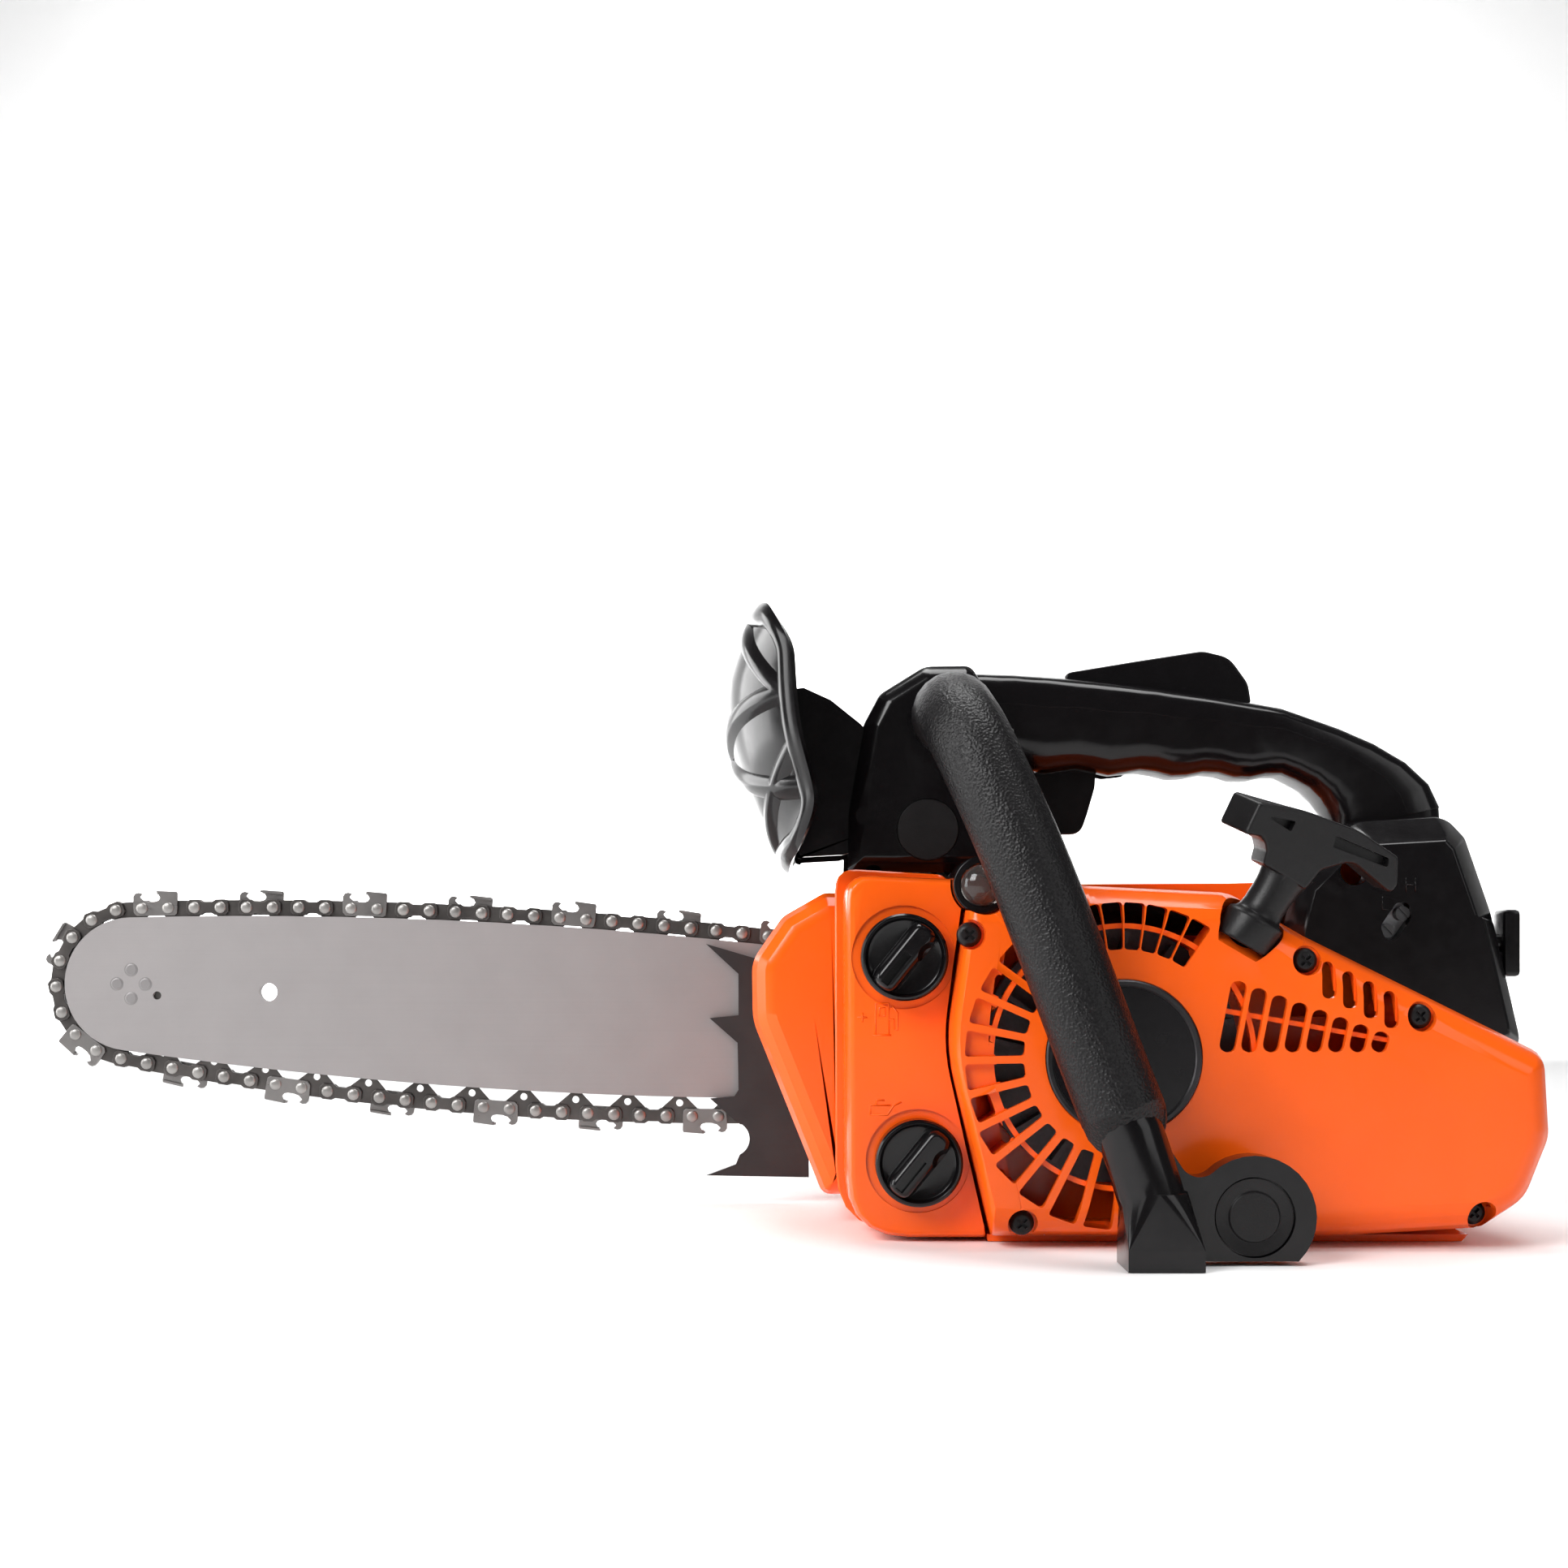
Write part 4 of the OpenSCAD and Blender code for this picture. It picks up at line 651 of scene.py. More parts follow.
def bore(name: str, centre: Point2, span: Point2, r: float, sides: int = 24) -> Piece:
    """Makes a round bar along y.

    Args:
        name: Name of the piece.
        centre: x and z of its axis.
        span: y of its ends.
        r: Radius.
        sides: Faces around.

    Returns:
        The piece.
    """
    (x, z), (y0, y1) = centre, span
    return rod(name, (x, y0, z), (x, y1, z), r, sides)


def block(name: str, low: Point3, high: Point3, edge: float = 0.0) -> Piece:
    """Makes a block with rounded edges.

    Args:
        name: Name of the piece.
        low: Lowest corner in millimetres.
        high: Highest corner.
        edge: Rounding of its edges.

    Returns:
        The piece.
    """
    put_down()
    bpy.ops.mesh.primitive_cube_add(size=1.0)
    obj = bpy.context.object
    obj.name = name
    size = Vector(high) - Vector(low)
    obj.data.transform(Matrix.Translation((Vector(low) + size / 2) * MM) @ Matrix.Diagonal((*(size * MM), 1.0)))
    return rounded(obj, edge) if edge else obj


def swept(name: str, points: Sequence[Vector], radii: Sequence[float], sides: int = 32) -> Piece:
    """Sweeps a circle along a route and closes both ends.

    Args:
        name: Name of the piece.
        points: The route in metres.
        radii: Radius at each point in metres.
        sides: Faces around.

    Returns:
        The piece.
    """
    data = bpy.data.curves.new(name, "CURVE")
    data.dimensions = "3D"
    data.bevel_depth = 1.0
    data.bevel_resolution = max(0, sides // 4 - 2)
    data.use_fill_caps = True
    data.twist_mode = "MINIMUM"
    spline = data.splines.new("POLY")
    spline.points.add(len(points) - 1)
    for knot, point, r in zip(spline.points, points, radii):
        knot.co = (*point, 1.0)
        knot.radius = r
    obj = bpy.data.objects.new(name, data)
    bpy.context.scene.collection.objects.link(obj)
    pick_up(obj)
    bpy.ops.object.convert(target="MESH")
    return tidied(bpy.context.object)


def turned_outline(corners: Sequence[Point3], insets: float | Sequence[float] = 0.0, steps: int = 5) -> list[Point2]:
    """Gives an outline whose edges are moved inwards and whose corners are rounded.

    Args:
        corners: x, z and radius of each corner, anticlockwise.
        insets: How far all edges, or each edge from its own corner on, move in.
        steps: Faces round each corner.

    Returns:
        The points of the outline.
    """
    count = len(corners)
    moves = [insets] * count if isinstance(insets, (int, float)) else list(insets)
    lines = []
    for i, move in enumerate(moves):
        a, b = Vector(corners[i][:2]), Vector(corners[(i + 1) % count][:2])
        along = (b - a).normalized()
        lines.append((a + Vector((-along.y, along.x)) * move, along))
    points = []
    for i in range(count):
        (a, d), (b, e) = lines[i - 1], lines[i]
        tip = a + d * ((b - a).cross(e) / d.cross(e))
        r = max(0.3, corners[i][2] - min(moves[i - 1], moves[i]))
        reach = r * math.tan(abs(d.angle_signed(e)) / 2)
        start, end = tip - d * reach, tip + e * reach
        for k in range(steps + 1):
            t = k / steps
            points.append(tuple(start * (1 - t) ** 2 + tip * 2 * t * (1 - t) + end * t * t))
    return points


def lofted(name: str, rings: Sequence[Sequence[Point3]]) -> Piece:
    """Skins rings of equal numbers of points and closes both ends.

    Args:
        name: Name of the piece.
        rings: Points of each ring in millimetres.

    Returns:
        The piece.
    """
    put_down()
    around, along = len(rings[0]), len(rings) - 1
    bpy.ops.mesh.primitive_grid_add(x_subdivisions=around, y_subdivisions=along, size=1.0)
    obj = bpy.context.object
    obj.name = name
    for vertex in obj.data.vertices:
        i, j = round((vertex.co.x + 0.5) * around) % around, round((vertex.co.y + 0.5) * along)
        vertex.co = Vector(rings[j][i]) * MM
    edit(obj, lambda: bpy.ops.mesh.remove_doubles(threshold=1e-7), lambda: bpy.ops.mesh.fill_holes(sides=0))
    return tidied(obj)


def moulded(name: str, corners: Sequence[Point3], levels: Sequence[tuple[float, float | Sequence[float]]]) -> Piece:
    """Skins an outline of the x-z plane at several depths.

    Args:
        name: Name of the piece.
        corners: x, z and radius of each corner, anticlockwise.
        levels: y of each ring and how far its edges move in.

    Returns:
        The piece.
    """
    return lofted(name, [[(x, y, z) for x, z in turned_outline(corners, inset)] for y, inset in levels])


def strokes(name: str, lines: Sequence[Sequence[Point2]], y: float, r: float = 0.28) -> Piece:
    """Lays raised lines on a face that looks along y.

    Args:
        name: Name of the piece.
        lines: Corners of each line in x and z.
        y: Where the face is.
        r: Half the width of a line.

    Returns:
        The piece.
    """
    return joined(name, [swept(name, [Vector((x, y, z)) * MM for x, z in line], [r * MM] * len(line), 8)
                         for line in lines])


def cut(obj: Piece, tools: Iterable[Piece], operation: str = "DIFFERENCE") -> Piece:
    """Cuts an object with others and scraps them.

    Args:
        obj: The object.
        tools: What is cut away.
        operation: Kind of the cut.

    Returns:
        The same object.
    """
    for tool in tools:
        apply(obj, "BOOLEAN", object=tool, operation=operation, solver="EXACT")
        scrap(tool)
    return obj


BODY_OF = {node: body for body, nodes in frame["record"]["behaviour"]["bodies"].items() for node in nodes}


def fit(piece: Piece, node: str, replaces: bool = True) -> Piece:
    """Makes a piece ride with a node's body.

    Args:
        piece: The piece.
        node: The node that it stands for or sits on.
        replaces: Whether it takes the node's place.

    Returns:
        The piece.
    """
    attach(piece, BODY_OF[node])
    if replaces:
        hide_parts(node)
    log.info("%s on %s: %d faces", piece.name, BODY_OF[node], len(piece.data.polygons))
    return piece


def coat_nodes() -> None:
    """Gives the nodes that keep their own shape their finishes."""
    coats = {
        Finish.STEEL: "bar_stud chain_tensioner drive_sprocket clutch_drum clutch_hub brake_band clutch_bearing "
                      "oil_pump crankshaft crank_bearings muffler",
        Finish.ROPE: "rope_coil",
        Finish.SATIN_BLACK: "starter_pulley rope_bushing",
        Finish.DARK_ALLOY: "flywheel",
        Finish.DARK: "recoil_spring flywheel_nut adjuster_screws",
        Finish.RUBBER: "ignition_coil intake_manifold av_mounts",
        Finish.ALLOY: "crankcase engine_cylinder carburettor",
        Finish.FELT: "air_filter",
        Finish.CERAMIC: "spark_plug",
        Finish.BLACK: "control_pins"}
    for finish, nodes in coats.items():
        for node in nodes.split():
            painted(frame["nodes"][node], finish)
            log.info("%s coated %s", node, finish.value.name)


def dressed(node: str, finish: Finish, edge: float = 0.35, angle: float = 34.0, segments: int = 2,
            shaped: Callable[[Piece], object] | None = None, soft: float = 36.0) -> Piece:
    """Takes a welded copy of a node, rounds its edges and lets it stand for the node.

    Args:
        node: Name of the node.
        finish: Its finish.
        edge: Rounding in millimetres.
        angle: Edges sharper than this are rounded, in degrees.
        segments: Faces across the rounding.
        shaped: Work done on the copy before its edges are rounded.
        soft: Edges blunter than this are shaded smooth, in degrees.

    Returns:
        The piece.
    """
    piece = frame["nodes"][node].copy()
    piece.data = frame["nodes"][node].data.copy()
    for key in list(piece.keys()):
        del piece[key]
    piece.parent = None
    piece.name = f"{node}_dressed"
    bpy.context.scene.collection.objects.link(piece)
    edit(piece, lambda: bpy.ops.mesh.remove_doubles(threshold=4e-6),
         lambda: bpy.ops.mesh.dissolve_limited(angle_limit=math.radians(0.4)))
    if shaped:
        shaped(piece)
    if edge:
        rounded(piece, edge, segments, angle)
    smooth(piece, soft)
    return fit(painted(piece, finish), node)


# ---- guide bar and chain ----------------------------------------------------


def arc(centre: Point2, r: float, angle: float) -> Point2:
    """Gives a point of a circle.

    Args:
        centre: Its centre.
        r: Its radius.
        angle: Angle in degrees.

    Returns:
        The point.
    """
    return centre[0] + r * math.cos(math.radians(angle)), centre[1] + r * math.sin(math.radians(angle))


@dataclass
class ChainPath:
    """Rivet line of the chain, in the frame of the bar: nose at [-span, 0]."""

    pitch: float = 9.525
    links: int = 44
    sprocket_teeth: int = 7
    nose_teeth: int = 9
    belly: float = 1700.0
    sag: float = 1180.0

    def __post_init__(self) -> None:
        """Solves the span for which the loop holds a whole number of links."""
        self.sprocket_r = self.pitch / (2 * math.sin(math.radians(90 / self.sprocket_teeth)))
        self.nose_r = self.pitch / (2 * math.sin(math.radians(90 / self.nose_teeth)))
        low, high = 200.0, 600.0
        for _ in range(40):
            self.span = (low + high) / 2
            if self.lengths()[-1] < 2 * self.links:
                low = self.span
            else:
                high = self.span

    def step(self, r: float) -> float:
        """Gives the angle of one pitch on a circle."""
        return 2 * math.degrees(math.asin(self.pitch / (2 * r)))

    def belly_centre(self, r: float) -> Point2:
        """Gives the centre of a long edge's curve, above the bar for a positive z."""
        x = -(self.span**2 + (r - self.sprocket_r) ** 2 - (r - self.nose_r) ** 2) / (2 * self.span)
        return x, math.sqrt((r - self.sprocket_r) ** 2 - x * x)

    def ends(self, r: float) -> Point2:
        """Gives the angles at which a long edge leaves the drive and meets the nose."""
        x, z = self.belly_centre(r)
        return math.degrees(math.atan2(z, -x)), math.degrees(math.atan2(z, -self.span - x))

    def lengths(self) -> tuple[float, float, float, float]:
        """Gives the running number of pitches at the end of each stretch."""
        (a, b), (c, d) = self.ends(self.belly), self.ends(self.sag)
        top = (b - a) / self.step(self.belly)
        nose = top + (360 - b - d) / self.step(self.nose_r)
        bottom = nose + (d - c) / self.step(self.sag)
        return top, nose, bottom, bottom + (a + c) / self.step(self.sprocket_r)

    def point(self, u: float) -> Point2:
        """Gives the place of rivet u.

        Args:
            u: Number of the rivet.

        Returns:
            Its place in the bar's frame.
        """
        u %= 2 * self.links
        top, nose, bottom, _ = self.lengths()
        (a, b), (c, d) = self.ends(self.belly), self.ends(self.sag)
        x, z = self.belly_centre(self.belly)
        if u < top:
            return arc((x, -z), self.belly, a + u * self.step(self.belly))
        if u < nose:
            return arc((-self.span, 0), self.nose_r, b + (u - top) * self.step(self.nose_r))
        x, z = self.belly_centre(self.sag)
        if u < bottom:
            return arc((x, z), self.sag, -d + (u - nose) * self.step(self.sag))
        return arc((0, 0), self.sprocket_r, -c + (u - bottom) * self.step(self.sprocket_r))

    def place(self, k: int) -> Matrix:
        """Gives the place of link k on the saw.

        Args:
            k: Number of the link's first rivet.

        Returns:
            A matrix for a link drawn with its rivets on the x axis.
        """
        (x, z), (x1, z1) = self.point(k), self.point(k + 1)
        turn = math.atan2(z1 - z, x1 - x)
        return (BAR_PLACE @ Matrix.Translation((x * MM, 0, z * MM)) @ Matrix.Rotation(-turn, 4, "Y")
                @ Matrix.Rotation(math.pi, 4, "X"))


BAR_PLACE = Matrix.Translation((0, BAR_Y * MM, CRANK_Z * MM)) @ Matrix.Rotation(BAR_TILT, 4, "Y")


@dataclass
class SawChain:
    """Low-profile saw chain: drive links, straps, cutters and domed rivets."""

    path: ChainPath
    link_t: float = 1.2
    strap_t: float = 1.1
    cutter: float = 6.4
    gauge: float = 5.8
    gap: float = 0.05

    @property
    def inner(self) -> float:
        """Gives the distance from the middle of the chain to a strap."""
        return self.link_t / 2 + self.gap

    def drive_link(self) -> Piece:
        """Models a drive link with its tang and lightening hole."""
        p = self.path.pitch
        outline = [(-2.7, 1.6), (-1.6, 2.7), (p + 1.6, 2.7), (p + 2.7, 1.6), (p + 2.9, -0.6), (p + 2.2, -2.4),
                   (p / 2 + 2.6, -6.6), (p / 2 + 1.4, -8), (p / 2 - 1.2, -8), (p / 2 - 2.4, -6.6), (-2.2, -2.4),
                   (-2.9, -0.6)]
        link = plate("drive_link", outline, -self.link_t / 2, self.link_t / 2, 0.18, 1)
        hole = bore("hole", (p / 2, -4.7), (-3, 3), 1.3, 14)
        return painted(smooth(cut(link, [hole]), 50), Finish.CHAIN)

    def strap(self, side: int) -> Piece:
        """Models a tie strap with a chamfered rim.

        Args:
            side: 1 on the far side, -1 on the near side.
        """
        p, r = self.path.pitch, 2.75
        outline = [(-3, 1.5), (-1.7, 2.95), (1.7, 2.95), (3, 2.15), (p - 3, 2.15), (p - 1.7, 2.95), (p + 1.7, 2.95),
                   (p + 3, 1.5), (p + 3, -1.4), (p + 1.8, -r), (p - 2.2, -r), (p - 3.2, -2), (3.2, -2), (2.2, -r),
                   (-1.8, -r), (-3, -1.4)]
        ends = sorted((side * self.inner, side * (self.inner + self.strap_t)))
        return painted(smooth(plate("strap", outline, *ends, 0.26, 2), 60), Finish.CHAIN)

    def rivet(self) -> Piece:
        """Models a rivet with a domed head at each end."""
        y = self.inner + self.strap_t
        head = [(2.15, y), (2.12, y + 0.22), (1.8, y + 0.55), (1.15, y + 0.78), (0, y + 0.85)]
        profile = [(r, -h) for r, h in reversed(head)] + [(1.2, -y), (1.2, y)] + head
        return painted(smooth(lathe("rivet", profile, (0, 0), 14), 50), Finish.RIVET)

    def tooth(self, side: int) -> Piece:
        """Models a cutter: side plate, top plate that bends over, and depth gauge.

        Args:
            side: 1 for a side plate on the far side, -1 on the near side.
        """
        p, h, g = self.path.pitch, self.cutter, self.gauge
        wall = [(-3.2, -2.1), (-2.2, -2.75), (p + 1.8, -2.75), (p + 3, -1.5), (p + 3.2, 2), (p + 3.15, g - 1.4),
                (p + 2.4, g - 0.3), (p + 1.2, g), (p - 0.2, g - 0.5), (p + 0.75, g - 1.6), (p + 0.5, 3.9),
                (p - 0.6, 2.9), (p - 2.4, 2.45), (p - 4.6, 2.4), (3.5, 2.8), (2.9, 3.8), (4.1, h - 0.35), (4.3, h),
                (-3.2, h - 0.5), (-3.5, h - 1.2), (-3.4, 0)]
        y0, lap, bend_start = self.inner, -0.75, 0.72
        side_plate = plate("cutter_wall", wall, y0, y0 + self.strap_t, 0.2, 2)
        put_down()
        bpy.ops.mesh.primitive_grid_add(x_subdivisions=4, y_subdivisions=6, size=MM)
        top = bpy.context.object
        for vertex in top.data.vertices:
            along, across = vertex.co.x / MM + 0.5, vertex.co.y / MM + 0.5
            bend = min(1.0, max(0.0, (across - bend_start) / 0.28))
            vertex.co = ((-3.4 + 7.6 * along + 0.5 * (1 - across)) * MM,
                         (lap + (y0 + self.strap_t - 0.1 - lap) * min(1.0, across * 1.04)) * MM,
                         (h - 0.5 * (1 - along) - 0.9 * bend * bend - 0.12) * MM)
        apply(top, "SOLIDIFY", thickness=0.85 * MM, offset=-1.0)
        rounded(top, 0.15, 1, 40)
        if side < 0:
            for part in (side_plate, top):
                part.data.transform(Matrix.Diagonal((1, -1, 1, 1)))
                edit(part, lambda: bpy.ops.mesh.normals_make_consistent(inside=False))
        return joined("cutter", [painted(smooth(part, 40), Finish.CUTTER) for part in (side_plate, top)])

    def build(self) -> None:
        """Lays the links along the path, one piece for each stretch."""
        link, rivet = self.drive_link(), self.rivet()
        straps = {s: self.strap(s) for s in (-1, 1)}
        teeth = {s: self.tooth(s) for s in (-1, 1)}
        top, nose, bottom = (round(v) for v in self.path.lengths()[:3])
        stretches = {"chain_top_run": (0, top), "chain_nose_wrap": (top, nose), "chain_bottom_run": (nose, bottom),
                     "chain_sprocket_wrap": (bottom, 2 * self.path.links)}
        for node, (first, last) in stretches.items():
            parts = []
            for k in range(first, last):
                place = self.path.place(k)
                if k % 2 == 0:
                    parts.append(copied(link, place))
                    continue
                toothed = {3: 1, 7: -1}.get(k % 8)  # every second pair has a cutter, on alternating sides
                parts += [copied(teeth[s] if s == toothed else straps[s], place) for s in (-1, 1)]
                parts += [copied(rivet, place @ Matrix.Translation((x * MM, 0, 0))) for x in (0, self.path.pitch)]
            fit(joined(f"{node}_links", parts), node)
        scrap(link, rivet, *straps.values(), *teeth.values())


@dataclass
class GuideBar:
    """Bar, nose rivets, spiked bumper and the drive parts beside them."""

    def build(self) -> None:
        """Dresses the bar and what carries it."""
        dressed("guide_bar", Finish.BAR, 0.2, 50, soft=14)
        dressed("nose_rivets", Finish.DISC, 0.12, 40)
        dressed("nose_sprocket", Finish.CHAIN, 0)
        dressed("spiked_bumper", Finish.BUMPER, 0.35, 40)
        dressed("bar_nut", Finish.STEEL, 0.4, 40)


# ---- handles ----------------------------------------------------------------


@dataclass
class FrontHandle:
    """Bent tube that wraps round the left side, with its grained sleeve."""

    tube_r: float = 9.8
    wall: float = 2.7
    route: tuple[Point3, ...] = (
        (-50, -26, 165), (-50, -32, 165), (-50.5, -62, 166.5), (-49.8, -79, 162.5), (-46.5, -89, 154),
        (-38, -97, 133.5), (-28.4, -103, 108.7), (-10.5, -111, 58.7), (-2.5, -114, 37), (4, -115.5, 16), (6, -116, 10))

    def point(self, u: float) -> Vector:
        """Gives a point of the tube's middle line.

        Args:
            u: Station, counted in points of the route.

        Returns:
            The point in metres.
        """
        i = min(len(self.route) - 3, max(1, math.floor(u)))
        t = u - i
        a, b, c, d = (Vector(self.route[i + k]) for k in (-1, 0, 1, 2))
        return 0.5 * MM * (2 * b + (c - a) * t + (2 * a - 5 * b + 4 * c - d) * t * t + (3 * b - a - 3 * c + d) * t**3)

    def stretch(self, name: str, start: float, end: float, r: float, lip: float, count: int) -> Piece:
        """Sweeps a stretch of tube whose ends are rounded.

        Args:
            name: Name of the piece.
            start: First station.
            end: Last station.
            r: Radius in millimetres.
            lip: Rounding of the ends in millimetres.
            count: Number of stations.

        Returns:
            The piece.
        """
        points = [self.point(start + (end - start) * k / count) for k in range(count + 1)]
        radii = [r * MM] * len(points)
        for index, tip, inner in ((0, points[0], points[1]), (-1, points[-1], points[-2])):
            direction = (tip - inner).normalized()
            for share in (0.35, 0.75, 1.0):
                ring = tip + direction * lip * MM * (math.sin(share * math.pi / 2) - 1.0)
                size = (r - lip + lip * math.cos(share * math.pi / 2)) * MM
                if index:
                    points.append(ring)
                    radii.append(size)
                else:
                    points.insert(0, ring)
                    radii.insert(0, size)
        return smooth(swept(name, points, radii, 40), 40)

    def build(self) -> None:
        """Makes the sleeve and dresses the tube with its foot."""
        sleeve = self.stretch("front_grip_sleeve", 1.6, 7.65, self.tube_r + self.wall, 1.6, 110)
        fit(painted(sleeve, Finish.SLEEVE), "front_handle_sleeve")
        dressed("front_handle", Finish.BLACK, 0.5, 40, 3, soft=50)
        dressed("mount_caps", Finish.SATIN_BLACK, 0.25, 30)


@dataclass
class TopHandle:
    """Rear handle: hollow front block, top grip with finger waves, rear leg and controls."""

    pin_r: float = 1.55

    def build(self) -> None:
        """Dresses the handle and its controls."""
        dressed("handle_body", Finish.BLACK, 0.5, 40)
        dressed("handle_top_cover", Finish.BLACK, 0.35, 40)
        levers = {
            "throttle_trigger": (5.5, (-14, 160), (
                (-17, 145, 10), (-11.5, 131, 4), (-2.6, 131, 5), (-0.2, 138, 10), (2.4, 147, 8), (3, 157, 4),
                (-9, 165, 3), (-20, 164, 2))),
            "throttle_lockout": (6.0, (-2, 180), (
                (-6, 176.5, 1), (4, 176, 2), (10, 178, 4), (30, 178, 6), (50, 174.6, 1), (55.6, 176, 1),
                (54.6, 182.5, 8), (48.2, 191.4, 9), (39, 193.6, 9), (17, 190.2, 20), (-8.6, 186, 3)))}
        for node, (half, pin, corners) in levers.items():
            lever = cut(plate(node, turned_outline(corners), -half, half), [bore("pin", pin, (-9, 9), self.pin_r)])
            fit(painted(smooth(rounded(lever, 1.2, 3, 50), 40), Finish.BLACK), node)
        dressed("stop_switch", Finish.RED, 0.5, 40)


@dataclass
class HandGuard:
    """Hand guard: a curved shield with a raised rim and crossing ribs, on two arms."""

    half: float = 64.0
    wall: float = 2.6
    mid: float = 176.0
    inner: float = 24.0
    corner: float = 16.0
    rim: float = 3.0
    rise: float = 2.0
    face: float = -120.3
    swept_back: float = 20.0
    ribs: tuple[tuple[Point2, Point2, float], ...] = (
        ((0, 0.22), (1, 0.66), -0.05), ((1, 0.22), (0, 0.66), 0.05), ((0, 0.6), (0.5, 0.98), 0.06),
        ((1, 0.6), (0.5, 0.98), 0.06), ((0, 0.45), (0.5, 0.03), -0.05), ((1, 0.45), (0.5, 0.03), -0.05))

    @property
    def height(self) -> float:
        """Gives the height of the shield in its middle."""
        return self.edge(0.0, 1.0) - self.edge(0.0, 0.0)

    def edge(self, v: float, w: float) -> float:
        """Gives the height of a point of the shield.

        Args:
            v: Place across, from -1 to 1.
            w: Place up, from 0 to 1.

        Returns:
            Its z in millimetres.
        """
        low, high = 119.5 + 9 * v * v, 206.0 - 9 * v * v
        return low + (high - low) * w

    def depth(self, v: float, z: float) -> float:
        """Gives x of the shield's front face.

        Args:
            v: Place across, from -1 to 1.
            z: Height in millimetres.

        Returns:
            Its x in millimetres.
        """
        curve = 0.0068 if z < self.mid else 0.0135
        widest, fade = 163.0, 39
        sweep = 3 + self.swept_back * math.exp(-(abs(z - widest) / fade) ** 4)
        return self.face + curve * (z - self.mid) ** 2 + sweep * v * v

    def short(self, u: float, w: float) -> tuple[float, float]:
        """Gives how far a point lies inside a corner's square, across and up.

        Args:
            u: Place across, from 0 to 1.
            w: Place up, from 0 to 1.

        Returns:
            Both distances in millimetres, 0 outside the square.
        """
        return (max(0.0, self.corner - min(u, 1 - u) * 2 * self.half),
                max(0.0, self.corner - min(w, 1 - w) * self.height))

    def within(self, u: float, w: float) -> tuple[float, float]:
        """Moves a point of the square inside the outline with round corners.

        Args:
            u: Place across, from 0 to 1.
            w: Place up, from 0 to 1.

        Returns:
            The place on the shield.
        """
        across, up = self.short(u, w)
        if not across or not up:
            return u, w
        shift = 1 - max(across, up) / math.hypot(across, up)
        return (u + math.copysign(across * shift / (2 * self.half), 0.5 - u),
                w + math.copysign(up * shift / self.height, 0.5 - w))

    def relief(self, u: float, w: float) -> float:
        """Gives how far the ribs and the rim stand out.

        Args:
            u: Place across, from 0 to 1.
            w: Place up, from 0 to 1.

        Returns:
            Height in millimetres.
        """
        def ridge(distance: float, half: float, rise: float) -> float:
            t = min(1.0, abs(distance) / half)
            return rise * (1 - t**4) ** 2

        width, height = 2 * self.half, self.height
        inside = self.corner - math.hypot(*self.short(u, w))
        if inside >= self.corner:
            inside = min(min(u, 1 - u) * width, min(w, 1 - w) * height)
        rim = ridge(inside - 2.2, 3.4, self.rim)
        ribs = 0.0
        for a, b, bow in self.ribs:
            low, high = sorted((a[0], b[0]))
            if low <= u <= high:
                t = (u - a[0]) / (b[0] - a[0])
                line = a[1] + (b[1] - a[1]) * t + bow * math.sin(math.pi * t)
                slope = (b[1] - a[1]) * height / ((b[0] - a[0]) * width)
                ribs = max(ribs, ridge((w - line) * height / math.hypot(1.0, slope), 3.0, self.rise))
        return max(rim, ribs)

    def build(self) -> None:
        """Shapes the shield from a grid, gives it its wall and adds the arms."""
        put_down()
        bpy.ops.mesh.primitive_grid_add(x_subdivisions=180, y_subdivisions=130, size=1.0)
        shield = bpy.context.object
        shield.name = "guard_shield"
        for vertex in shield.data.vertices:
            u, w = self.within(vertex.co.x + 0.5, vertex.co.y + 0.5)
            v = 2 * u - 1
            z = self.edge(v, w)
            vertex.co = ((self.depth(v, z) - self.relief(u, w)) * MM, v * self.half * MM, z * MM)
        apply(shield, "SOLIDIFY", thickness=self.wall * MM, offset=-1.0)
        tidied(shield)
        smooth(shield, 50)
        arms = []
        for side in (-1, 1):
            y = side * (self.inner + 1.5)
            v = abs(y) / self.half
            front = [(self.depth(v, z) + 1.4, z) for z in range(122, 178, 6)]
            outline = front + [(-97, 178.5), (-88, 174.4), (-78, 166.4), (-73, 160), (-70.5, 150), (-70, 139),
                               (-70, 133), (-71.5, 130), (-80, 124.4), (-84, 123.2), (-99, 122.4)]
            arms.append(smooth(plate("guard_arm", outline, y - 1.5, y + 1.5, 0.6, 2), 40))
        piece = joined("hand_guard_shield", [painted(part, Finish.BLACK) for part in (shield, *arms)])
        fit(piece, "hand_guard")


# ---- powerhead --------------------------------------------------------------


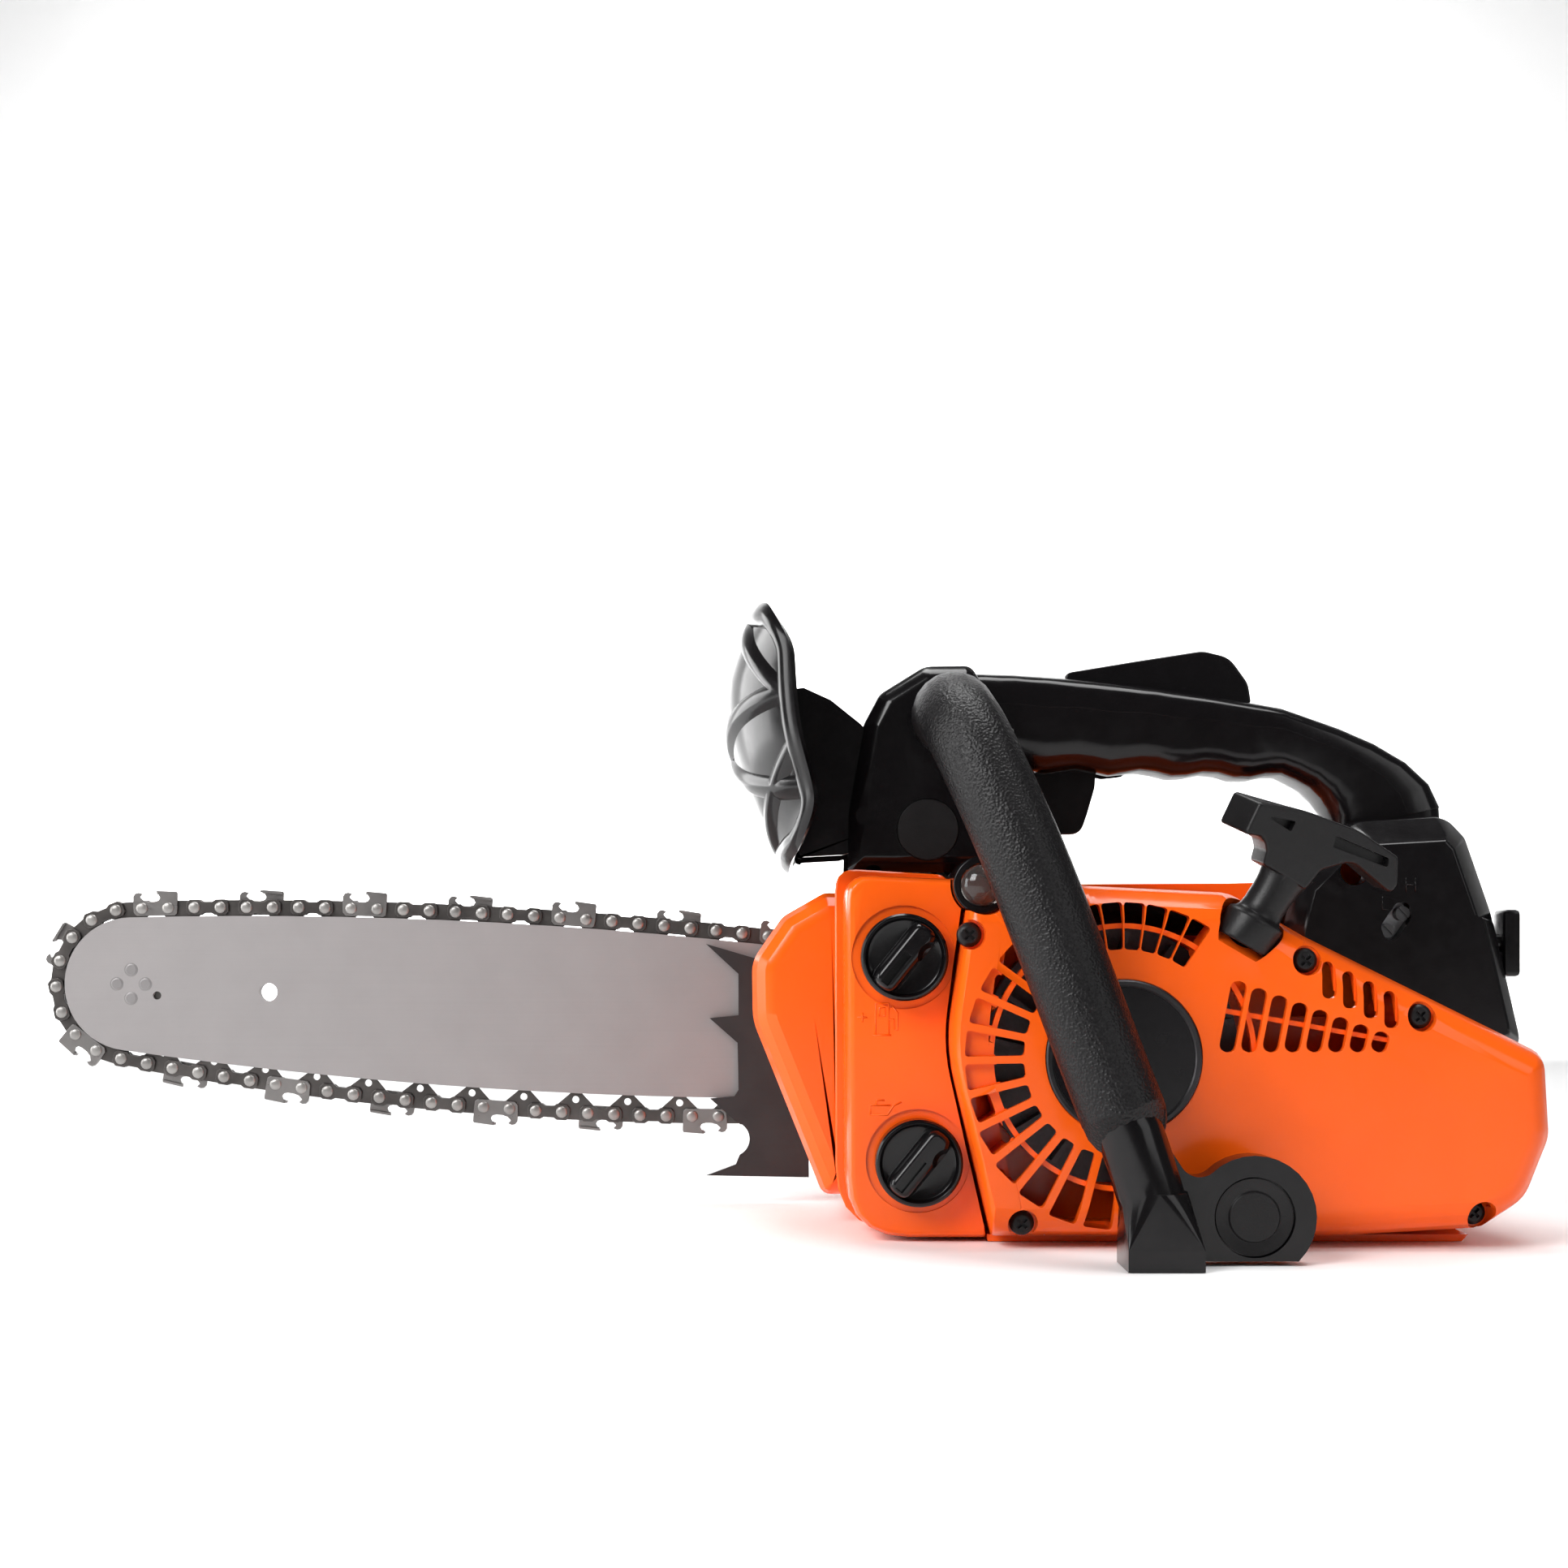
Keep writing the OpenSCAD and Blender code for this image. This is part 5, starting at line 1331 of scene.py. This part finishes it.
@dataclass
class Powerhead:
    """Orange casing with tank, covers, caps, primer, air filter cover and starter."""

    primer: Point2 = (-41.7, 112.0)
    primer_hole: float = 9.5
    caps: tuple[Point2, Point2] = ((-66.0, 89.5), (-61.5, 25.5))
    neck_r: float = 9.6
    hollow_r: float = 16.3

    def tank(self) -> None:
        """Models the tank: a flat face up to the seam, a flange, round recesses and two signs."""
        corners = ((-84, 0.4, 20), (-39.5, 0.4, 1.2), (-53.6, 62, 60), (-46.5, 114.5, 3), (-84.5, 116, 8))
        levels = ((-62, 3.2), (-61.4, 1.9), (-59.6, 0.9), (-54, 0.3), (-25, 0))
        tank = moulded("tank", corners, [(y, (d, 0.1, 0.1, d, d)) for y, d in levels])
        core = moulded("core", corners, [(-59.6, 8.6), (-56.6, 5), (-24, 2.4)])
        flange = moulded("flange", ((-86.6, 0.3, 21), (-50, 0.3, 1), (-50, 116.2, 4), (-86.9, 118.5, 7)),
                         [(-36.2, 0.5), (-35.7, 0), (-34, 0), (-33.5, 0.5)])
        cut(tank, [flange], "UNION")
        bores = [bore("bore", cap, (-70, -50), self.neck_r, 48) for cap in self.caps]
        hollows = [bore("hollow", cap, (-70, -61.2), self.hollow_r, 64) for cap in self.caps]
        cut(tank, [core, *bores, *hollows, bore("primer_hole", self.primer, (-90, -20), self.primer_hole, 48)])
        smooth(rounded(tank, 0.3, 2, 40), 36)
        pump = strokes("signs", [[(-75.6, 65), (-69.8, 65)], [(-74.8, 65), (-74.8, 75), (-70.6, 75), (-70.6, 65)],
                                 [(-73.6, 71), (-71.8, 71), (-71.8, 73.6), (-73.6, 73.6), (-73.6, 71)],
                                 [(-70.6, 70), (-69, 70), (-69, 66.6), (-67.8, 66.6), (-67.8, 72), (-69.4, 74)],
                                 [(-80.4, 70.6), (-77.4, 70.6)], [(-78.9, 69.1), (-78.9, 72.1)],
                                 [(-76.4, 40), (-71, 40), (-69, 43), (-66.6, 44)],
                                 [(-76.4, 40), (-76.4, 43), (-70, 43)],
                                 [(-74.4, 43), (-74.4, 44.6), (-72, 44.6)]], -62.0)
        fit(joined("tank_face", [painted(part, Finish.ORANGE) for part in (tank, pump)]), "tank_shell")

    def starter_side(self, cover: Piece) -> None:
        """Brings the starter cover's face up to the seam and opens the fan slots.

        Args:
            cover: Copy of the cover.
        """
        corners = ((-39, 2.6, 1.5), (-29, 2.6, 1), (-41.8, 62, 60), (-35.5, 110.5, 1), (-46, 110.5, 5), (-53.1, 62, 60))
        levels = ((-83, 10.5, 2.2), (-81.4, 6.4, 0.9), (-78, 3, 0.3), (-72, 1, 0.1), (-66, 0, 0))
        cheek = moulded("cheek", corners, [(y, (rim, 0, 0, rim, side, side)) for y, rim, side in levels])
        cut(cover, [cheek], "UNION")
        first, pitch, web, front, floor = 150, 12.4, 2.3, -85, -80.5
        slots, deep = [], []
        for k in range(-1, 10):
            angle, upper = math.radians(first + k * pitch), k <= 3
            out = 48.4 if upper else 47 + 6 * min(1.0, (math.degrees(angle) - 185) / 60)
            along, across = Vector((math.cos(angle), math.sin(angle))), Vector((-math.sin(angle), math.cos(angle)))
            for inner, depth, parts in ((30.3, floor, slots), (42.2, -66, deep))[:1 if upper else 2]:
                ring = [Vector((0, CRANK_Z)) + along * r + across * side * (math.radians(pitch) * r - web) / 2
                        for r, side in ((inner, -1), (out, -1), (out, 1), (inner, 1))]
                parts.append(plate("fan_slot", turned_outline([(*point, 1.3) for point in ring]), front, depth))
        rows = [((31.6 + 6.6 * k, 63.2), (34.8 + 6.2 * k, 79.8 - 2.2 * k), 2.5) for k in range(8)]
        rows += [((62.5 + 6.3 * k, 79.2 - 3 * k), (62.5 + 6.3 * k, 86.1 - 3 * k), 2.2) for k in range(4)]
        for low, high, r in rows:
            a, b = Vector(low), Vector(high)
            up = (b - a).normalized() * r
            side = Vector((up.y, -up.x))
            ring = (a - up - side, a - up + side, b + up + side, b + up - side)
            slots.append(plate("slot", turned_outline([(*point, r * 0.98) for point in ring]), front, floor))
        cut(cover, [joined("slots", slots), joined("deep_slots", deep),
                    bore("primer", self.primer, (-90, -40), self.primer_hole, 48)])
        cut(cover, [bore("seat", screw, (-90, -76), 4.6, 32) for screw in ((-46.6, 96.5), (-30.5, 8))])

    def pull_grip(self) -> None:
        """Models the pull grip: a T with a flared round stem, and the end of its rope."""
        out, back = Vector((0.507, -0.0787, 0.862)).normalized(), Vector((-0.12, 0.98, 0.16)).normalized()
        across = out.cross(back) * -1
        frame_axes = Matrix((across, back, out)).transposed().to_4x4()
        exit_point = Vector((37.6, -77.5, 97.0))
        corners = ((-8.4, 20.5, 1), (7.4, 20.5, 1), (8.4, 28.0, 5), (15.5, 35.2, 6), (31.8, 32.8, 2), (31.9, 36.4, 2),
                   (27.6, 43.6, 2.5), (12.4, 44.2, 24), (-6, 40.8, 20), (-19.4, 35.8, 1.5), (-18.3, 25.2, 1.2),
                   (-12.8, 27.6, 3), (-9.6, 24.4, 3))
        half, flare, flare_from = 6.5, 5.0, -12
        rings = [[(x - (flare * (y + half) / 13 if x < flare_from else 0.0), y, z)
                  for x, z in turned_outline(corners, inset)]
                 for y, inset in ((-half, 0.9), (-6.2, 0.35), (-5.6, 0.0), (5.6, 0.0), (6.2, 0.35), (half, 0.9))]
        bar = lofted("starter_grip_tee", rings)
        stem = ((-3.2, 8.6), (-2.4, 9.2), (4.6, 9.3), (5.8, 8.9), (6.6, 7.6), (7.6, 6.9), (10, 6.6), (14, 6.6),
                (18, 7.0), (21, 7.7), (24, 8.8))
        turns, flat_from, flat = [math.tau * k / 40 for k in range(40)], 16, 6.4
        neck = lofted("neck", [[((0.8 + 0.03 * c) + r * math.cos(a),
                                 min(1.0, flat / r if c > flat_from else 1.0) * r * math.sin(a), c) for a in turns]
                               for c, r in stem])
        pockets = [plate("pocket", turned_outline(shape), -8, -2.6) for shape in (
            ((-15.7, 33.4, 0.6), (-6.4, 33.2, 0.6), (-6.6, 36.6, 0.6)),
            ((7.7, 35.8, 0.8), (26.2, 39.2, 0.8), (24.9, 41.7, 0.8), (6.7, 39.2, 0.8)))]
        cut(bar, [neck], "UNION")
        rounded(cut(bar, pockets), 0.3, 2, 40)
        bar.data.transform(Matrix.Translation(exit_point * MM) @ frame_axes)
        fit(painted(smooth(bar, 40), Finish.SATIN_BLACK), "starter_grip")
        pull = Vector((0.43, -0.53, 0.73)).normalized()
        route = [(exit_point + way) * MM for way in (pull * -9, pull * -1, out * 4)]
        fit(painted(smooth(swept("rope_end", route, [1.6 * MM] * 3, 24), 60), Finish.ROPE), "starter_rope")

    def filler_cap(self, node: str, x: float, z: float) -> None:
        """Models a screw cap: a dished disc with a tall grip across it.

        Args:
            node: The node that it replaces.
            x: Place of its axis.
            z: Height of its axis.
        """
        disc = lathe(node, [(0, -69.2), (10.4, -69.2), (11.5, -69.7), (11.9, -70.6), (12.4, -71), (13, -70.9),
                            (13.6, -70.2), (13.6, -63.2), (9.4, -63.2), (9.4, -56), (0, -56)], (0, 0), 64)
        levels = ((-68.6, 12.2, 4.8), (-71.4, 12, 4.4), (-73, 11.6, 3.7), (-73.8, 10.9, 2.8), (-74, 10.2, 2.1))
        grip = lofted("grip", [[(a, y, b) for a, b in turned_outline(
            [(-w, -h, h * 0.9), (w, -h, h * 0.9), (w, h, h * 0.9), (-w, h, h * 0.9)])] for y, w, h in levels])
        cut(disc, [grip], "UNION")
        scoop = lathe("scoop", [(r, -77.4 - t) for r, t in ((0, -8), (3, -7.2), (4.6, -5), (5, 0))] + [(0, -77.4)],
                      (5.4, -6.6), 32)
        cut(disc, [block("slot", (-10.4, -76, -1.3), (1.6, -71.4, 1.3)), scoop])
        rounded(disc, 0.35, 3, 30)
        disc.data.transform(Matrix.Translation((x * MM, 0, z * MM)) @ Matrix.Rotation(math.radians(-51), 4, "Y"))
        fit(painted(smooth(disc, 40), Finish.BLACK), node)

    def filter_side(self) -> None:
        """Dresses the filter cover, whose face reaches down to the starter cover, and its knob."""
        corners = ((57.5, 97.6, 3), (139.3, 57.2, 3), (129.5, 100, 1), (112, 104, 1), (78, 129.8, 1), (61.5, 113.5, 4))

        def shaped(cover: Piece) -> None:
            strip = moulded("strip", corners, [(y, (0, d, 0, 0, d - 3.3, d - 3.3))
                                               for y, d in ((-50, 8.9), (-49, 7.8), (-42, 3.3))])
            cut(cover, [strip], "UNION")
            slot = ((88.6, 95.4), (92, 94.6), (97.6, 102.6), (96.2, 107), (92.4, 107), (87.2, 99.4))
            cut(cover, [bore("hole", (79, 117), (-60, -41), 4.6, 32),
                        plate("slot", turned_outline([(*point, 2.4) for point in slot]), -60, -41)])

        dressed("air_filter_cover", Finish.BLACK, 0.45, 40, shaped=shaped)
        marks = strokes("adjuster_marks", [[(87.9, 108.8), (87.9, 104.7), (90, 104.7)], [(95.4, 110.4), (95.4, 114.8)],
                                           [(98.4, 110.4), (98.4, 114.8)], [(95.4, 112.6), (98.4, 112.6)]], -50.0)
        fit(painted(marks, Finish.BLACK), "air_filter_cover", replaces=False)
        knob = block("knob_plate", (130.6, -39, 83), (136.2, -27, 105), 1.6)
        cut(knob, [rod("shaft", (126, -33, 94), (133, -33, 94), 3, 32)], "UNION")
        fit(painted(smooth(knob, 40), Finish.BLACK), "filter_knob")

    def casing(self) -> None:
        """Dresses the casing and its covers."""
        dressed("engine_housing", Finish.ORANGE, 0, soft=20)
        dressed("starter_cover", Finish.ORANGE, 0.45, 46, shaped=self.starter_side)
        dressed("clutch_cover", Finish.ORANGE, 0.45, 46)

        def lowered(cover: Piece) -> None:
            roof, kept = 112 * MM, 0.25
            for vertex in cover.data.vertices:
                vertex.co.z = min(vertex.co.z, roof + kept * (vertex.co.z - roof))

        dressed("cylinder_cover", Finish.ORANGE, 0.45, 46, shaped=lowered)
        dressed("cover_screws", Finish.SATIN_BLACK, 0.12, 40)
        self.tank()
        self.filter_side()
        for node, (x, z) in zip(("fuel_cap", "oil_cap"), self.caps):
            self.filler_cap(node, x, z)

    def badge(self) -> None:
        """Makes the starter badge: a plain lacquered disc in a satin ring."""
        r, y = 23.7, -83.0
        ring = lathe("badge_ring", [(0, y + 1.4), (r, y + 1.4), (r, y - 0.4), (r - 0.5, y - 0.8), (r - 1.6, y - 0.8),
                                    (r - 2.1, y - 0.3), (0, y - 0.3)], (0, CRANK_Z), 96)
        disc = lathe("badge_disc", [(0, y - 0.2), (r - 2.1, y - 0.2), (r - 2.3, y - 0.42), (0, y - 0.46)],
                     (0, CRANK_Z), 96)
        parts = [painted(smooth(ring, 30), Finish.RING), painted(smooth(disc, 30), Finish.BADGE)]
        fit(joined("starter_badge_face", parts), "starter_badge")

    def primer_pump(self) -> None:
        """Makes the primer: bezel, clear dome and the membrane seen through it."""
        x, z = self.primer
        dressed("primer_base", Finish.BLACK, 0.4, 40)
        r, rim = 6.5, -67.0
        arch = [(r * math.cos(math.radians(a)), rim - 4.5 * math.sin(math.radians(a))) for a in range(0, 91, 10)]
        dome = lathe("primer_dome", [(0, -64.4), (r, -64.4), *arch[:-1], (0, rim - 4.5)], (x, z), 48)
        fit(painted(smooth(dome, 60), Finish.BULB), "primer_bulb")
        seat = lathe("primer_seat", [(0, -56), (5.5, -56), (5.5, -60.2), (4.8, -60.2), (4.7, -59.2), (3.9, -59.2),
                                     (3.8, -60), (3, -60), (2.9, -59.2), (2, -59.2), (1.8, -60.5), (0, -60.7)],
                     (x, z), 32)
        fit(painted(smooth(seat, 30), Finish.MEMBRANE), "primer_base", replaces=False)

    def build(self) -> None:
        """Builds the powerhead."""
        self.casing()
        self.badge()
        self.primer_pump()
        self.pull_grip()


# ---- studio -----------------------------------------------------------------


@dataclass
class Studio:
    """White sweep, soft lights and the camera."""

    eye: Point3 = (-103.5, -733.0, 92.4)
    lens: float = 49.04
    shift: float = 0.1046

    lights: tuple[tuple[str, Point3, Point3, Point2, float], ...] = (
        ("key", (-1.0, -1.0, 1.0), (-0.05, 0, 0.08), (0.8, 0.8), 23),
        ("fill", (1.0, -1.0, 0.7), (0, 0, 0.08), (0.8, 0.8), 3.5),
        ("top", (0.0, 0.1, 1.4), (-0.1, 0, 0.0), (1.4, 0.5), 18),
        ("side", (-1.3, -0.2, 0.35), (-0.1, 0, 0.15), (0.5, 0.7), 7),
        ("rim", (-1.5, 1.25, 0.4), (-0.1, 0, 0.15), (0.8, 0.9), 9),
        ("back", (-0.2, 1.6, 0.9), (-0.1, 2.6, 0.3), (1.6, 1.0), 80))

    def light(self, name: str, place: Point3, target: Point3, size: Point2, power: float) -> None:
        """Hangs a soft box.

        Args:
            name: Name of the light.
            place: Where it hangs, in metres.
            target: What it faces.
            size: Its width and height in metres.
            power: Its power in watts.
        """
        data = bpy.data.lights.new(name, "AREA")
        data.shape = "RECTANGLE"
        data.size, data.size_y = size
        data.energy = power
        lamp = bpy.data.objects.new(name, data)
        lamp.location = place
        lamp.rotation_euler = (Vector(target) - Vector(place)).to_track_quat("-Z", "Y").to_euler()
        bpy.context.scene.collection.objects.link(lamp)

    def sweep(self) -> None:
        """Makes the floor, which rises behind the saw without a crease."""
        put_down()
        bpy.ops.mesh.primitive_grid_add(x_subdivisions=2, y_subdivisions=60, size=1.0)
        floor = bpy.context.object
        floor.name = "studio_sweep"
        width, length, front, sink = 10.0, 9.0, -2.0, 0.0002
        flat, r = 3.6, 1.6
        for vertex in floor.data.vertices:
            along = (vertex.co.y + 0.5) * length
            if along <= flat:
                y, z = along + front, 0.0
            elif along <= flat + r * math.pi / 2:
                a = (along - flat) / r
                y, z = flat + front + r * math.sin(a), r * (1 - math.cos(a))
            else:
                y, z = flat + front + r, r + along - flat - r * math.pi / 2
            vertex.co = (vertex.co.x * width, y, z - sink)
        g = Graph("studio paper")
        g.set(Roughness=0.6, Specular_IOR_Level=0.2)
        paper = g.tint(g.noise(3.0, 2.0), [(0.3, (0.93, 0.93, 0.93)), (0.7, (0.95, 0.95, 0.95))])
        floor.data.materials.append(g.finish(paper))
        smooth(floor, 40)

    def build(self) -> None:
        """Sets the room, the lights and the camera."""
        world = bpy.data.worlds.new("studio")
        world.use_nodes = True
        glow = world.node_tree.nodes["Background"].inputs
        glow["Color"].default_value, glow["Strength"].default_value = (1, 1, 1, 1), 0.09
        bpy.context.scene.world = world
        self.sweep()
        for lamp in self.lights:
            self.light(*lamp)
        data = bpy.data.cameras.new("camera")
        data.lens, data.sensor_width, data.shift_y = self.lens, 36.0, self.shift
        camera = bpy.data.objects.new("camera", data)
        camera.location = Vector(self.eye) * MM
        camera.rotation_euler = (math.pi / 2, 0, 0)
        bpy.context.scene.collection.objects.link(camera)
        bpy.context.scene.camera = camera
        bpy.context.scene.view_settings.view_transform = "Standard"


def main() -> None:
    """Builds the saw and its studio."""
    logging.basicConfig(level=logging.INFO, format="%(name)s %(message)s")
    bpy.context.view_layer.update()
    Studio().build()
    GuideBar().build()
    SawChain(ChainPath()).build()
    Powerhead().build()
    TopHandle().build()
    FrontHandle().build()
    HandGuard().build()
    coat_nodes()
    put_down()


if __name__ == "__main__":
    main()
